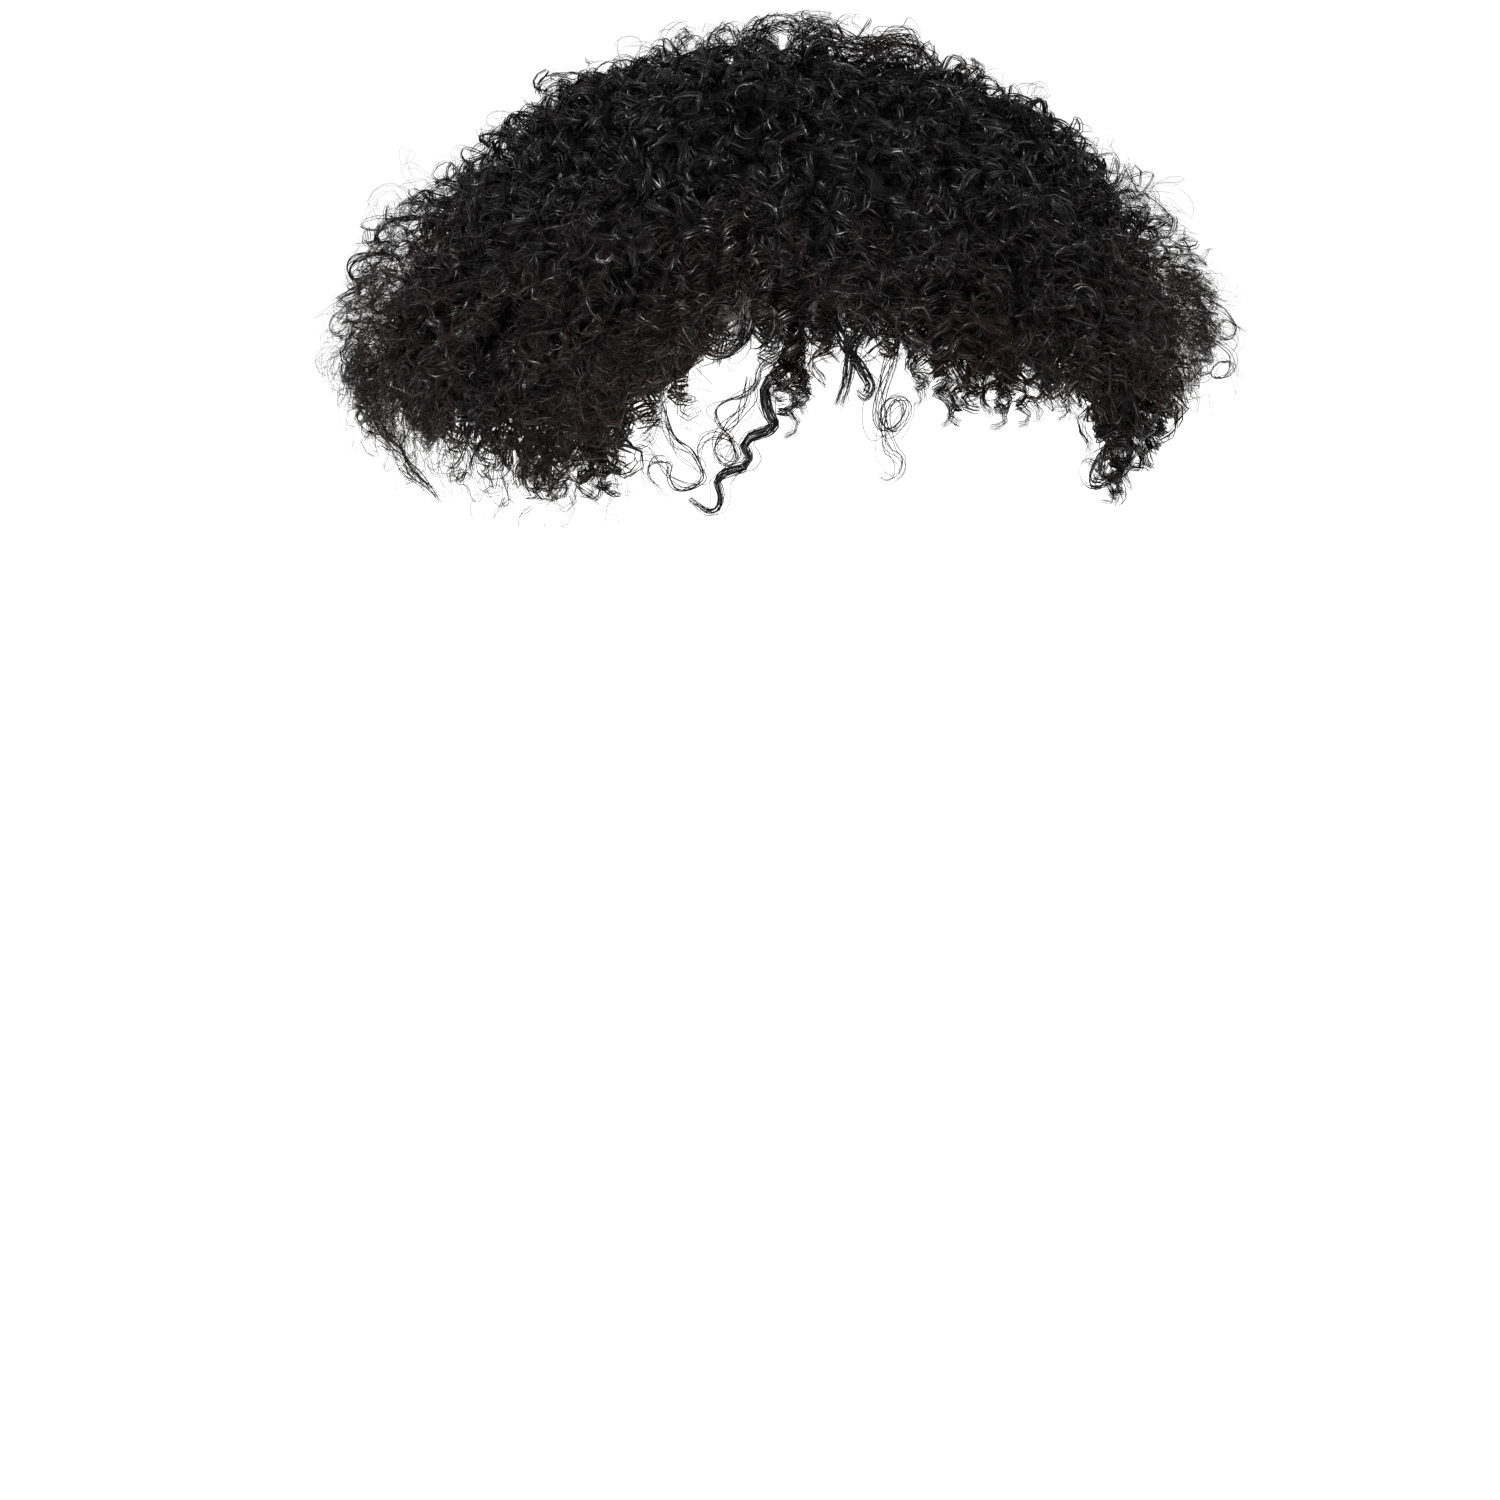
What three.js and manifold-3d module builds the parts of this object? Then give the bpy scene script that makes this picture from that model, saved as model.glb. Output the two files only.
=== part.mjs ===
// A curly toupee hairpiece: a thin domed base that sits on the crown of a head, and the hair
// that is knotted to it, in five zones of curled locks. The front hair falls over the forehead,
// and the sides and back flare out and hang below the rim of the base.
// Millimetres, +Z up. The wearer faces -Y, and +X is the wearer's left.
// The origin is the inside of the base at its apex, where the crown of the head touches it.
import * as THREE from "three";
import { mergeVertices } from "three/addons/utils/BufferGeometryUtils.js";
import Module from "manifold-3d";

// Head that the base is shaped to
const HEAD_HALF_WIDTH = 77;
const HEAD_HALF_LENGTH = 97;
const HEAD_DOME_HEIGHT = 88;

// Base
const BASE_WALL = 1.2;
const BASE_TO_HAIR_GAP = 0.3;
const BASE_RIM_DEPTH = 58;

// Hair envelope: the outer surface of the locks
const HAIR_REACH = 149;
const HAIR_TOP_HEIGHT = 28;
const WIDEST_DEPTH = 78;
const ENVELOPE_ROUNDNESS = 1.7;
const HEM_DEPTH = 108;
const HEM_RISE = 15;
const HAIR_BELOW_RIM = 4;
const HEM_TO_HEAD_GAP = 5;
const FLARE_POWER = 4;
const LOCK_STAND_OFF = 8;

// Zones
const TOP_ZONE_HALF_WIDTH = 62;
const TOP_ZONE_HALF_LENGTH = 66;
const TOP_ZONE_CONE_DEPTH = 130;
const ZONE_GAP = 0.3;
const FRINGE_HALF_ANGLE = 50;
const SIDE_END_ANGLE = 128;
const ZONES = [
  { name: "hair_top" },
  { name: "hair_fringe", from: -FRINGE_HALF_ANGLE, to: FRINGE_HALF_ANGLE },
  { name: "hair_left", from: FRINGE_HALF_ANGLE, to: SIDE_END_ANGLE },
  { name: "hair_back", from: SIDE_END_ANGLE, to: 360 - SIDE_END_ANGLE },
  { name: "hair_right", from: 360 - SIDE_END_ANGLE, to: 360 - FRINGE_HALF_ANGLE },
];

// Facets
const COLUMNS = 30;
const BASE_ROWS = 7;
const BODY_OUTER_ROWS = 6;
const BODY_INNER_ROWS = 5;
const LOCK_SIDES = 5;
const LOCK_STEPS_PER_TURN = 5.6;
const WEDGE_STEPS = 4;
const WELD_DISTANCE = 1e-4;

// Shape round the head, by azimuth from the front in degrees, the same on both sides.
// rim and reach are shares of BASE_RIM_DEPTH and HAIR_REACH.
const OUTLINE = [
  { azimuth: 0, rim: 0.83, reach: 0.86 },
  { azimuth: 30, rim: 0.79, reach: 0.93 },
  { azimuth: 60, rim: 0.86, reach: 0.99 },
  { azimuth: 90, rim: 1.0, reach: 1.0 },
  { azimuth: 135, rim: 1.28, reach: 1.01 },
  { azimuth: 180, rim: 1.46, reach: 1.0 },
];

// Where the hair ends, as shares of HEM_DEPTH, and how far its locks hang below that, as shares of
// TIP_BELOW_HEM. It is high over the right half of the forehead, lower over the left half, higher
// again at the left temple, lowest at the right side, and rises from there round the back.
const HEM = [
  { azimuth: -180, depth: 0.86, tips: 0.45 },
  { azimuth: -110, depth: 1.03, tips: 0.45 },
  { azimuth: -80, depth: 1.03, tips: 0.5 },
  { azimuth: -42, depth: 0.54, tips: 1.0 },
  { azimuth: -5, depth: 0.56, tips: 1.0 },
  { azimuth: 18, depth: 0.86, tips: 1.0 },
  { azimuth: 40, depth: 0.74, tips: 0.8 },
  { azimuth: 62, depth: 0.74, tips: 0.6 },
  { azimuth: 120, depth: 0.82, tips: 0.45 },
  { azimuth: 180, depth: 0.86, tips: 0.45 },
];

// Locks. Below the widest line a lock hangs, and turns in towards the head by HANG_TURN_IN over
// HANG_LENGTH.
const LOCK_RADIUS = 9.5;
const COIL_RADIUS = 6;
const HANG_LENGTH = 62;
const HANG_TURN_IN = 32;
const HANG_POWER = 1.5;
const ROOT_SINK = 6;
const TIP_TAPER = 0.72;
const TIP_BELOW_HEM = 24;

// Rows of locks. root and tip are places on the envelope, 0 at the crown and 1 at the widest line,
// and 2 a HANG_LENGTH below it. radius and coil are shares of LOCK_RADIUS and COIL_RADIUS, and
// turns is how often a lock winds round its own line. onTop says which locks the top zone holds.
const TIERS = [
  { tier: "crown", onTop: true, count: 4, root: 0.02, tip: 0.27, radius: 1.0, coil: 0.9, turns: 0.9 },
  { tier: "top", onTop: true, count: 8, root: 0.17, tip: 0.43, radius: 1.0, coil: 1.0, turns: 0.9 },
  { tier: "shoulder", onTop: false, count: 11, root: 0.36, tip: 0.68, radius: 1.0, coil: 1.0, turns: 1.05 },
  { tier: "middle", onTop: false, count: 13, root: 0.54, tip: 0.94, radius: 1.05, coil: 1.0, turns: 1.2 },
  { tier: "outer", onTop: false, count: 14, root: 0.78, tip: 1.3, radius: 1.05, coil: 1.0, turns: 1.3 },
  { tier: "hem", onTop: false, count: 14, root: 0.96, tip: 1.66, radius: 0.85, coil: 0.9, turns: 1.5 },
];
const SHORTEST_LOCK = 18.6;

// Thinner single locks that hang lower than the rest, by their azimuth. below is how far under the
// hem they end, in place of TIP_BELOW_HEM.
const LONG_LOCKS = [
  { azimuth: -40, below: 52, root: 0.7, tip: 2, radius: 0.52, coil: 0.8, turns: 1.7, lag: 0.1 },
  { azimuth: 19, below: 25, root: 0.96, tip: 2, radius: 0.52, coil: 0.8, turns: 1.35, lag: 0.5 },
];
const LAG_PER_LOCK = 0.38;
const LAG_PER_TIER = 0.21;

const wasm = await Module();
wasm.setup();

const degrees = THREE.MathUtils.degToRad;

// An azimuth as one from -180 to 180.
const turned = (azimuth) => THREE.MathUtils.euclideanModulo(azimuth + 180, 360) - 180;

// One column of a table at an azimuth, eased between its rows.
function eased(table, column, azimuth) {
  const last = table.findIndex((row) => row.azimuth >= azimuth);
  const [from, to] = [table[Math.max(last - 1, 0)], table[last]];
  const share = from === to ? 0 : (azimuth - from.azimuth) / (to.azimuth - from.azimuth);
  return THREE.MathUtils.lerp(from[column], to[column], share * share * (3 - 2 * share));
}

const outline = (column, azimuth) => eased(OUTLINE, column, Math.abs(turned(azimuth)));
const hemDepth = (azimuth) => HEM_DEPTH * eased(HEM, "depth", turned(azimuth));

// A point at a radius along X and along Y, towards an azimuth, at a height.
function around(azimuth, radiusX, radiusY, z) {
  const a = degrees(azimuth);
  return new THREE.Vector3(radiusX * Math.sin(a), -radiusY * Math.cos(a), z);
}

// A point on the head's form grown by offset, at a depth below the crown. Below its widest
// line the form goes straight down.
function headPoint(azimuth, depth, offset) {
  const height = HEAD_DOME_HEIGHT + offset;
  const share = Math.min((depth + offset) / height, 1);
  const swell = Math.sqrt(Math.max(0, 1 - (1 - share) ** 2));
  return around(
    azimuth,
    (HEAD_HALF_WIDTH + offset) * swell,
    (HEAD_HALF_LENGTH + offset) * swell,
    -depth,
  );
}

// A point on the hair's outer surface, sunk by depth. place is 0 at the crown, 1 at the widest
// line, and past 1 it goes down HANG_LENGTH for each unit while it turns in towards the head.
function envelopePoint(azimuth, place, sunk) {
  const reach = HAIR_REACH * outline("reach", azimuth) - sunk;
  const rise = HAIR_TOP_HEIGHT + WIDEST_DEPTH - sunk;
  if (place > 1) {
    const hang = place - 1;
    const radius = reach - HANG_TURN_IN * hang ** HANG_POWER;
    return around(azimuth, radius, radius, -WIDEST_DEPTH - hang * HANG_LENGTH);
  }
  const angle = (Math.max(place, 0) * Math.PI) / 2;
  const power = 2 / ENVELOPE_ROUNDNESS;
  const radius = reach * Math.sin(angle) ** power;
  return around(azimuth, radius, radius, rise * Math.cos(angle) ** power - WIDEST_DEPTH);
}

// The place on the envelope that lies at a depth below the crown.
function placeAtDepth(depth) {
  if (depth > WIDEST_DEPTH) return 1 + (depth - WIDEST_DEPTH) / HANG_LENGTH;
  const share = (WIDEST_DEPTH - depth) / (HAIR_TOP_HEIGHT + WIDEST_DEPTH);
  return (2 / Math.PI) * Math.acos(share ** (ENVELOPE_ROUNDNESS / 2));
}

// A closed wall between two domes. Each dome is a function of azimuth and of a share that goes
// from 0 at its apex to 1 at its rim, and the two rims are joined.
function wallGeometry(outer, outerRows, inner, innerRows) {
  const points = [];
  const rings = [];
  const addDome = (dome, rows) => {
    const apex = points.push(dome(0, 0)) - 1;
    const domeRings = [];
    for (let row = 1; row <= rows; row++) {
      const ring = [];
      for (let column = 0; column < COLUMNS; column++)
        ring.push(points.push(dome((column * 360) / COLUMNS, row / rows)) - 1);
      domeRings.push(ring);
    }
    rings.push({ apex, domeRings });
  };
  addDome(outer, outerRows);
  addDome(inner, innerRows);
  const faces = [];
  const addBand = (upper, lower) => {
    for (let column = 0; column < COLUMNS; column++) {
      const next = (column + 1) % COLUMNS;
      faces.push(upper[column], lower[column], lower[next]);
      faces.push(upper[column], lower[next], upper[next]);
    }
  };
  const [out, within] = rings;
  for (let column = 0; column < COLUMNS; column++) {
    const next = (column + 1) % COLUMNS;
    faces.push(out.apex, out.domeRings[0][column], out.domeRings[0][next]);
    faces.push(within.apex, within.domeRings[0][next], within.domeRings[0][column]);
  }
  for (let row = 1; row < outerRows; row++) addBand(out.domeRings[row - 1], out.domeRings[row]);
  for (let row = 1; row < innerRows; row++)
    addBand(within.domeRings[row], within.domeRings[row - 1]);
  addBand(out.domeRings[outerRows - 1], within.domeRings[innerRows - 1]);
  const geometry = new THREE.BufferGeometry().setFromPoints(points);
  geometry.setIndex(faces);
  return geometry;
}

// A tapered tube with closed ends along a list of { point, radius }.
function tubeGeometry(line) {
  const points = [];
  const faces = [];
  const side = new THREE.Vector3();
  const rise = new THREE.Vector3(0, 0, 1);
  line.forEach(({ point, radius }, step) => {
    const before = line[Math.max(step - 1, 0)].point;
    const after = line[Math.min(step + 1, line.length - 1)].point;
    const along = after.clone().sub(before).normalize();
    side.crossVectors(along, rise).normalize();
    rise.crossVectors(side, along).normalize();
    for (let k = 0; k < LOCK_SIDES; k++) {
      const turn = (k * 2 * Math.PI) / LOCK_SIDES;
      const spoke = side.clone().multiplyScalar(Math.cos(turn) * radius);
      points.push(point.clone().add(spoke.addScaledVector(rise, Math.sin(turn) * radius)));
    }
  });
  for (let step = 1; step < line.length; step++)
    for (let k = 0; k < LOCK_SIDES; k++) {
      const next = (k + 1) % LOCK_SIDES;
      const [low, high] = [(step - 1) * LOCK_SIDES, step * LOCK_SIDES];
      faces.push(low + k, high + next, low + next, low + k, high + k, high + next);
    }
  const end = (line.length - 1) * LOCK_SIDES;
  for (let k = 1; k < LOCK_SIDES - 1; k++) {
    faces.push(0, k, k + 1);
    faces.push(end, end + k + 1, end + k);
  }
  const geometry = new THREE.BufferGeometry().setFromPoints(points);
  geometry.setIndex(faces);
  return geometry;
}

// One curled lock, which leaves the hair's body at its root and tapers to its tip. The hem there
// says how low it may hang, or its row's own below does. One that is cut short by the hem starts
// higher up, so that it keeps SHORTEST_LOCK.
function lockGeometry(row, azimuth, lag) {
  const below = TIP_BELOW_HEM * eased(HEM, "tips", turned(azimuth));
  const lowest = hemDepth(azimuth) + (row.below ?? below);
  const tip = Math.min(row.tip, placeAtDepth(lowest));
  const shortest = Math.min(row.tip - row.root, SHORTEST_LOCK / HANG_LENGTH);
  const root = Math.min(row.root, tip - shortest);
  const radius = LOCK_RADIUS * row.radius;
  const coil = COIL_RADIUS * row.coil;
  const steps = Math.ceil(row.turns * LOCK_STEPS_PER_TURN);
  const line = [];
  for (let step = 0; step <= steps; step++) {
    const t = step / steps;
    const turn = 2 * Math.PI * (row.turns * t + lag);
    const place = root + (tip - root) * t;
    const sunk = radius + coil * Math.sin(turn) + ROOT_SINK * (1 - t) ** 3;
    const middle = envelopePoint(azimuth, place, 0);
    const spread = Math.max(Math.hypot(middle.x, middle.y), coil * 2);
    const swing = THREE.MathUtils.radToDeg((coil * Math.cos(turn)) / spread);
    line.push({
      point: envelopePoint(azimuth + swing, place, sunk),
      radius: radius * (1 - TIP_TAPER * t ** 2),
    });
  }
  return tubeGeometry(line);
}

// Solids, with three.js geometry in and out
function solidOf(geometry) {
  const bare = new THREE.BufferGeometry().setAttribute("position", geometry.attributes.position);
  bare.setIndex(geometry.index);
  const merged = mergeVertices(bare, WELD_DISTANCE);
  return new wasm.Manifold(
    new wasm.Mesh({
      numProp: 3,
      vertProperties: new Float32Array(merged.attributes.position.array),
      triVerts: new Uint32Array(merged.index.array),
    }),
  );
}

function geometryOf(solid) {
  const { vertProperties, triVerts } = solid.getMesh();
  const geometry = new THREE.BufferGeometry();
  geometry.setAttribute("position", new THREE.BufferAttribute(vertProperties, 3));
  geometry.setIndex(new THREE.BufferAttribute(triVerts, 1));
  geometry.computeVertexNormals();
  return geometry;
}

// The inside of the upturned cone that bounds the top zone, grown by offset. It has its tip
// TOP_ZONE_CONE_DEPTH below the crown and the zone's half width and length level with the crown.
function topZoneSolid(offset) {
  const cone = new THREE.ConeGeometry(1, 1, COLUMNS);
  cone.rotateX(-Math.PI / 2);
  cone.translate(0, 0, 1 / 2);
  const taller = 1 + (2 * HAIR_TOP_HEIGHT) / TOP_ZONE_CONE_DEPTH;
  cone.scale(
    taller * (TOP_ZONE_HALF_WIDTH + offset),
    taller * (TOP_ZONE_HALF_LENGTH + offset),
    taller * TOP_ZONE_CONE_DEPTH,
  );
  cone.translate(0, 0, -TOP_ZONE_CONE_DEPTH);
  return solidOf(cone);
}

// A wedge of space between two azimuths, set in from both by half the gap between zones.
function wedgeSolid(from, to) {
  const far = 2 * (HAIR_REACH + HANG_LENGTH);
  const inset = ZONE_GAP / 2 / Math.sin(degrees((to - from) / 2));
  const apex = around((from + to) / 2, inset, inset, 0);
  const corners = [apex];
  for (let step = 0; step <= WEDGE_STEPS; step++)
    corners.push(around(from + ((to - from) * step) / WEDGE_STEPS, far, far, 0).add(apex));
  const shape = new THREE.Shape(corners.map(({ x, y }) => new THREE.Vector2(x, y)));
  const wedge = new THREE.ExtrudeGeometry(shape, { depth: 2 * far, bevelEnabled: false });
  wedge.translate(0, 0, -far);
  return solidOf(wedge);
}

// A dome on the head's form grown by offset, deeper at the back than at the forehead, whose
// edge lies past the base's rim by beyond.
const baseDome = (offset, beyond) => (azimuth, share) => {
  const rim = BASE_RIM_DEPTH * outline("rim", azimuth) + beyond;
  const depth = (rim + offset) * (1 - Math.cos((share * Math.PI) / 2)) - offset;
  return headPoint(azimuth, depth, offset);
};

const baseGeometry = () =>
  wallGeometry(baseDome(BASE_WALL, 0), BASE_ROWS, baseDome(0, 0), BASE_ROWS);

// The room that the base takes inside the hair, with its clearance all round.
function baseRoomSolid() {
  const roof = baseDome(BASE_WALL + BASE_TO_HAIR_GAP, BASE_TO_HAIR_GAP);
  const floor = (azimuth, share) => {
    const edge = roof(azimuth, 1);
    return new THREE.Vector3(edge.x * share, edge.y * share, share ? edge.z : -BASE_RIM_DEPTH);
  };
  return solidOf(wallGeometry(roof, BASE_ROWS, floor, 1));
}

// The hair's body, which every lock grows out of. Its inside lies within the base's wall, and
// the base's room is cut out of it later. Below the base it flares away from the head. Its
// underside rises by HEM_RISE from the outside to the head, but not above the base's rim.
function bodySolid() {
  const inset = BASE_WALL / 2;
  const outer = (azimuth, share) => {
    return envelopePoint(azimuth, placeAtDepth(hemDepth(azimuth)) * share, LOCK_STAND_OFF);
  };
  const inner = (azimuth, share) => {
    const rim = BASE_RIM_DEPTH * outline("rim", azimuth);
    const edge = Math.max(hemDepth(azimuth) - HEM_RISE, rim + HAIR_BELOW_RIM);
    const depth = (edge + inset) * (1 - Math.cos((share * Math.PI) / 2)) - inset;
    const flare = HEM_TO_HEAD_GAP * share ** FLARE_POWER;
    return headPoint(azimuth, depth, inset + flare);
  };
  return solidOf(wallGeometry(outer, BODY_OUTER_ROWS, inner, BODY_INNER_ROWS));
}

// Every lock as { azimuth, onTop, solid }. Every other tier is turned by half a lock's share, and
// each lock starts its curl at another phase.
function lockSolids() {
  const locks = [];
  TIERS.forEach((row, tier) => {
    for (let k = 0; k < row.count; k++) {
      const azimuth = ((k + (tier % 2) / 2) * 360) / row.count;
      const lag = (k * LAG_PER_LOCK + tier * LAG_PER_TIER) % 1;
      locks.push({ azimuth, onTop: row.onTop, solid: solidOf(lockGeometry(row, azimuth, lag)) });
    }
  });
  for (const row of LONG_LOCKS) {
    const solid = solidOf(lockGeometry(row, row.azimuth, row.lag));
    locks.push({ azimuth: row.azimuth, onTop: false, solid });
  }
  return locks;
}

// The largest of a solid's separate bodies: what a zone's edge cuts off a lock's tip is dropped.
function largestBody(solid) {
  return solid.decompose().reduce((a, b) => (a.volume() > b.volume() ? a : b));
}

// One zone's hair: the body and the zone's own locks, cut to the zone and clear of the base.
function zoneSolid(zone, body, locks, baseRoom) {
  const onTop = zone.from === undefined;
  const holds = (azimuth) =>
    THREE.MathUtils.euclideanModulo(azimuth - zone.from, 360) < zone.to - zone.from;
  let hair = body;
  for (const lock of locks)
    if (lock.onTop === onTop && (onTop || holds(lock.azimuth))) hair = hair.add(lock.solid);
  hair = onTop
    ? hair.intersect(topZoneSolid(-ZONE_GAP / 2))
    : hair.intersect(wedgeSolid(zone.from, zone.to)).subtract(topZoneSolid(ZONE_GAP / 2));
  return largestBody(hair.subtract(baseRoom));
}

function mesh(name, geometry, material) {
  const piece = new THREE.Mesh(geometry, material);
  piece.name = name;
  return piece;
}

const hairMaterial = new THREE.MeshStandardMaterial({ color: 0x1b1817, roughness: 0.55, metalness: 0 });
const baseMaterial = new THREE.MeshStandardMaterial({ color: 0x2a2320, roughness: 0.8, metalness: 0 });

const toupee = new THREE.Group();
toupee.name = "toupee";
toupee.add(mesh("base_cap", baseGeometry(), baseMaterial));

const body = bodySolid();
const locks = lockSolids();
const baseRoom = baseRoomSolid();
for (const zone of ZONES)
  toupee.add(mesh(zone.name, geometryOf(zoneSolid(zone, body, locks, baseRoom)), hairMaterial));

export default toupee;
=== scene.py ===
"""Looks of a curly toupee hairpiece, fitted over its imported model. Metres, +Z up, the wearer faces -Y."""
import math

import bpy
import numpy as np
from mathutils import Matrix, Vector


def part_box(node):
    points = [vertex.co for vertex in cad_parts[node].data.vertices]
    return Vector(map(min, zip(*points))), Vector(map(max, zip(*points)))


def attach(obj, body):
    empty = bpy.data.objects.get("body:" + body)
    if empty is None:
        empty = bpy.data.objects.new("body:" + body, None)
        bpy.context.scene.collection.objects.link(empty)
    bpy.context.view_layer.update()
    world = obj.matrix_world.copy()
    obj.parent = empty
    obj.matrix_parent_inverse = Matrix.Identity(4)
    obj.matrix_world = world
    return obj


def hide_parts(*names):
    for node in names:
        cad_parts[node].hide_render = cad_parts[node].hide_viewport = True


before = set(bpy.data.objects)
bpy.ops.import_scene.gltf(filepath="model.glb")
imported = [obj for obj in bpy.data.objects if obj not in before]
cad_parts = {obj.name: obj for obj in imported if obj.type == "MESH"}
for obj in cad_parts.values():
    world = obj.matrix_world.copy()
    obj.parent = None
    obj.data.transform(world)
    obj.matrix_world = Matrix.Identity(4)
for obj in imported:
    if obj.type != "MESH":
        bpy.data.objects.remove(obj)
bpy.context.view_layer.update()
MM = 0.001
TAU = 2 * math.pi

# The hair's outside, from the boxes of its solids
SIDE_REACH = -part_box("hair_right")[0][0]
FRONT_REACH = -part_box("hair_fringe")[0][1]
BACK_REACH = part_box("hair_back")[1][1]
TOP_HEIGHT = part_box("hair_top")[1][2]
HEM_DEPTH = -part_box("hair_right")[0][2]
TOP_ZONE_REACH = (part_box("hair_top")[1][0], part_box("hair_top")[1][1])
WIDEST_DEPTH = 78 * MM
ROUNDNESS = 1.7
TURN_IN = 0.42
TURN_IN_START = 40 * MM
CURVE_SAMPLES = 400

# The head that the base is shaped to
BASE_WALL = 1.2 * MM
BASE_RIM_DEPTH = 58 * MM
HEAD_HALF_WIDTH = 77 * MM
HEAD_HALF_LENGTH = 97 * MM
HEAD_DOME_HEIGHT = 88 * MM

# By azimuth from the front, in degrees, the same on both sides: reach as shares of the side's and
# rim as shares of BASE_RIM_DEPTH
OUTLINE = {
    "azimuth": (0, 30, 60, 90, 135, 180),
    "reach": (FRONT_REACH / SIDE_REACH, 0.93, 0.985, 1.0, 1.005, BACK_REACH / SIDE_REACH),
    "rim": (0.83, 0.79, 0.86, 1.0, 1.28, 1.46),
}

# The dense hair's hem as shares of HEM_DEPTH, by azimuth with the wearer's left above 0
HEM = {
    "azimuth": (-180, -150, -120, -108, -97, -88, -76, -68, -64, -59, -55,
                -52, -48, -43, -38, -34, -29, -22, -15, -8, 0,
                9, 20, 27, 34, 41, 48, 60, 100, 140, 180),
    "depth": (0.75, 0.80, 0.84, 0.81, 0.80, 0.84, 0.90, 0.88, 0.84, 0.79, 0.68,
              0.54, 0.45, 0.40, 0.40, 0.44, 0.46, 0.43, 0.48, 0.56, 0.60,
              0.66, 0.71, 0.78, 0.82, 0.81, 0.75, 0.67, 0.70, 0.71, 0.75),
}

# Zones of the hair: the azimuths that each spans, in degrees, or None for the crown
ZONES = {
    "top": None,
    "fringe": (-50, 50),
    "left": (50, 128),
    "back": (128, 232),
    "right": (232, 310),
}


def outline(column, azimuth):
    """A column of OUTLINE at azimuths in radians, eased between its rows."""
    folded = np.degrees(np.abs((azimuth + math.pi) % TAU - math.pi))
    rows, values = np.array(OUTLINE["azimuth"], float), np.array(OUTLINE[column], float)
    last = np.clip(np.searchsorted(rows, folded), 1, len(rows) - 1)
    share = (folded - rows[last - 1]) / (rows[last] - rows[last - 1])
    return values[last - 1] + (values[last] - values[last - 1]) * smooth(share)


def hem_depth(azimuth):
    """The hem's depth below the crown at azimuths in radians."""
    turned = np.degrees((azimuth + math.pi) % TAU - math.pi)
    return HEM_DEPTH * np.interp(turned, HEM["azimuth"], HEM["depth"])


def arc_table():
    """Lengths along a meridian of the envelope, and the angles of its curve that they reach."""
    angle = np.linspace(0, math.pi / 2, CURVE_SAMPLES)
    power = 2 / ROUNDNESS
    radius = SIDE_REACH * np.sin(angle) ** power
    rise = (TOP_HEIGHT + WIDEST_DEPTH) * np.cos(angle) ** power
    steps = np.hypot(np.diff(radius), np.diff(rise))
    return np.concatenate([[0], np.cumsum(steps)]), angle


ARCS, ANGLES = arc_table()
WIDEST_ARC = ARCS[-1]
ARC_TRIALS = 300


def envelope(azimuth, arc, depth):
    """Points on the hair's outside, sunk by depth, at a length along the meridian from the crown."""
    angle = np.interp(arc, ARCS, ANGLES)
    power = 2 / ROUNDNESS
    reach = SIDE_REACH * outline("reach", azimuth) - depth
    hang = np.maximum(arc - WIDEST_ARC, 0)
    turned_in = TURN_IN * hang * np.sqrt(np.minimum(hang / TURN_IN_START, 1))
    radius = reach * np.sin(angle) ** power - turned_in
    rise = (TOP_HEIGHT + WIDEST_DEPTH - depth) * np.maximum(np.cos(angle), 0) ** power
    height = rise - WIDEST_DEPTH - hang
    return np.stack([radius * np.sin(azimuth), -radius * np.cos(azimuth), height], axis=-1)


def arcs_at(depth):
    """The arcs at which the hair's outside lies at depths below the crown."""
    trial = np.linspace(0, WIDEST_ARC, ARC_TRIALS)
    heights = envelope(np.full(ARC_TRIALS, math.pi / 2), trial, 0)[:, 2]
    above = np.interp(-depth, heights[::-1], trial[::-1])
    return np.where(depth > WIDEST_DEPTH, WIDEST_ARC + depth - WIDEST_DEPTH, above)


def outward(points):
    """The hair's outward direction near points."""
    radial = np.linalg.norm(points[..., :2], axis=-1)
    level = np.maximum(points[..., 2] + WIDEST_DEPTH, 0)
    side = (radial / SIDE_REACH) ** (ROUNDNESS - 1) / SIDE_REACH
    up = (level / (TOP_HEIGHT + WIDEST_DEPTH)) ** (ROUNDNESS - 1) / (TOP_HEIGHT + WIDEST_DEPTH)
    flat = points[..., :2] / np.maximum(radial, 1e-6)[..., None] * side[..., None]
    return unit(np.concatenate([flat, up[..., None]], axis=-1))


def unit(vectors):
    """Vectors made one unit long."""
    return vectors / np.maximum(np.linalg.norm(vectors, axis=-1, keepdims=True), 1e-9)


def head_point(azimuth, depth, offset):
    """Points on the head's form grown by offset, at depths below the crown."""
    share = np.minimum((depth + offset) / (HEAD_DOME_HEIGHT + offset), 1)
    swell = np.sqrt(np.maximum(0, 1 - (1 - share) ** 2))
    x = (HEAD_HALF_WIDTH + offset) * swell * np.sin(azimuth)
    y = -(HEAD_HALF_LENGTH + offset) * swell * np.cos(azimuth)
    return np.stack([x, y, -depth + 0 * x], axis=-1)


class Waves:
    """Smooth noise, mostly from -1 to 1: plane waves in seeded directions."""

    def __init__(self, rng, length, count=14):
        self.directions = unit(rng.normal(size=(count, 3))) * (TAU / length)
        self.directions *= rng.uniform(0.6, 1.5, (count, 1))
        self.phases = rng.uniform(0, TAU, count)

    def __call__(self, points):
        values = np.sin(points @ self.directions.T + self.phases)
        return values.sum(axis=-1) / math.sqrt(len(self.phases) * 2)


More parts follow.
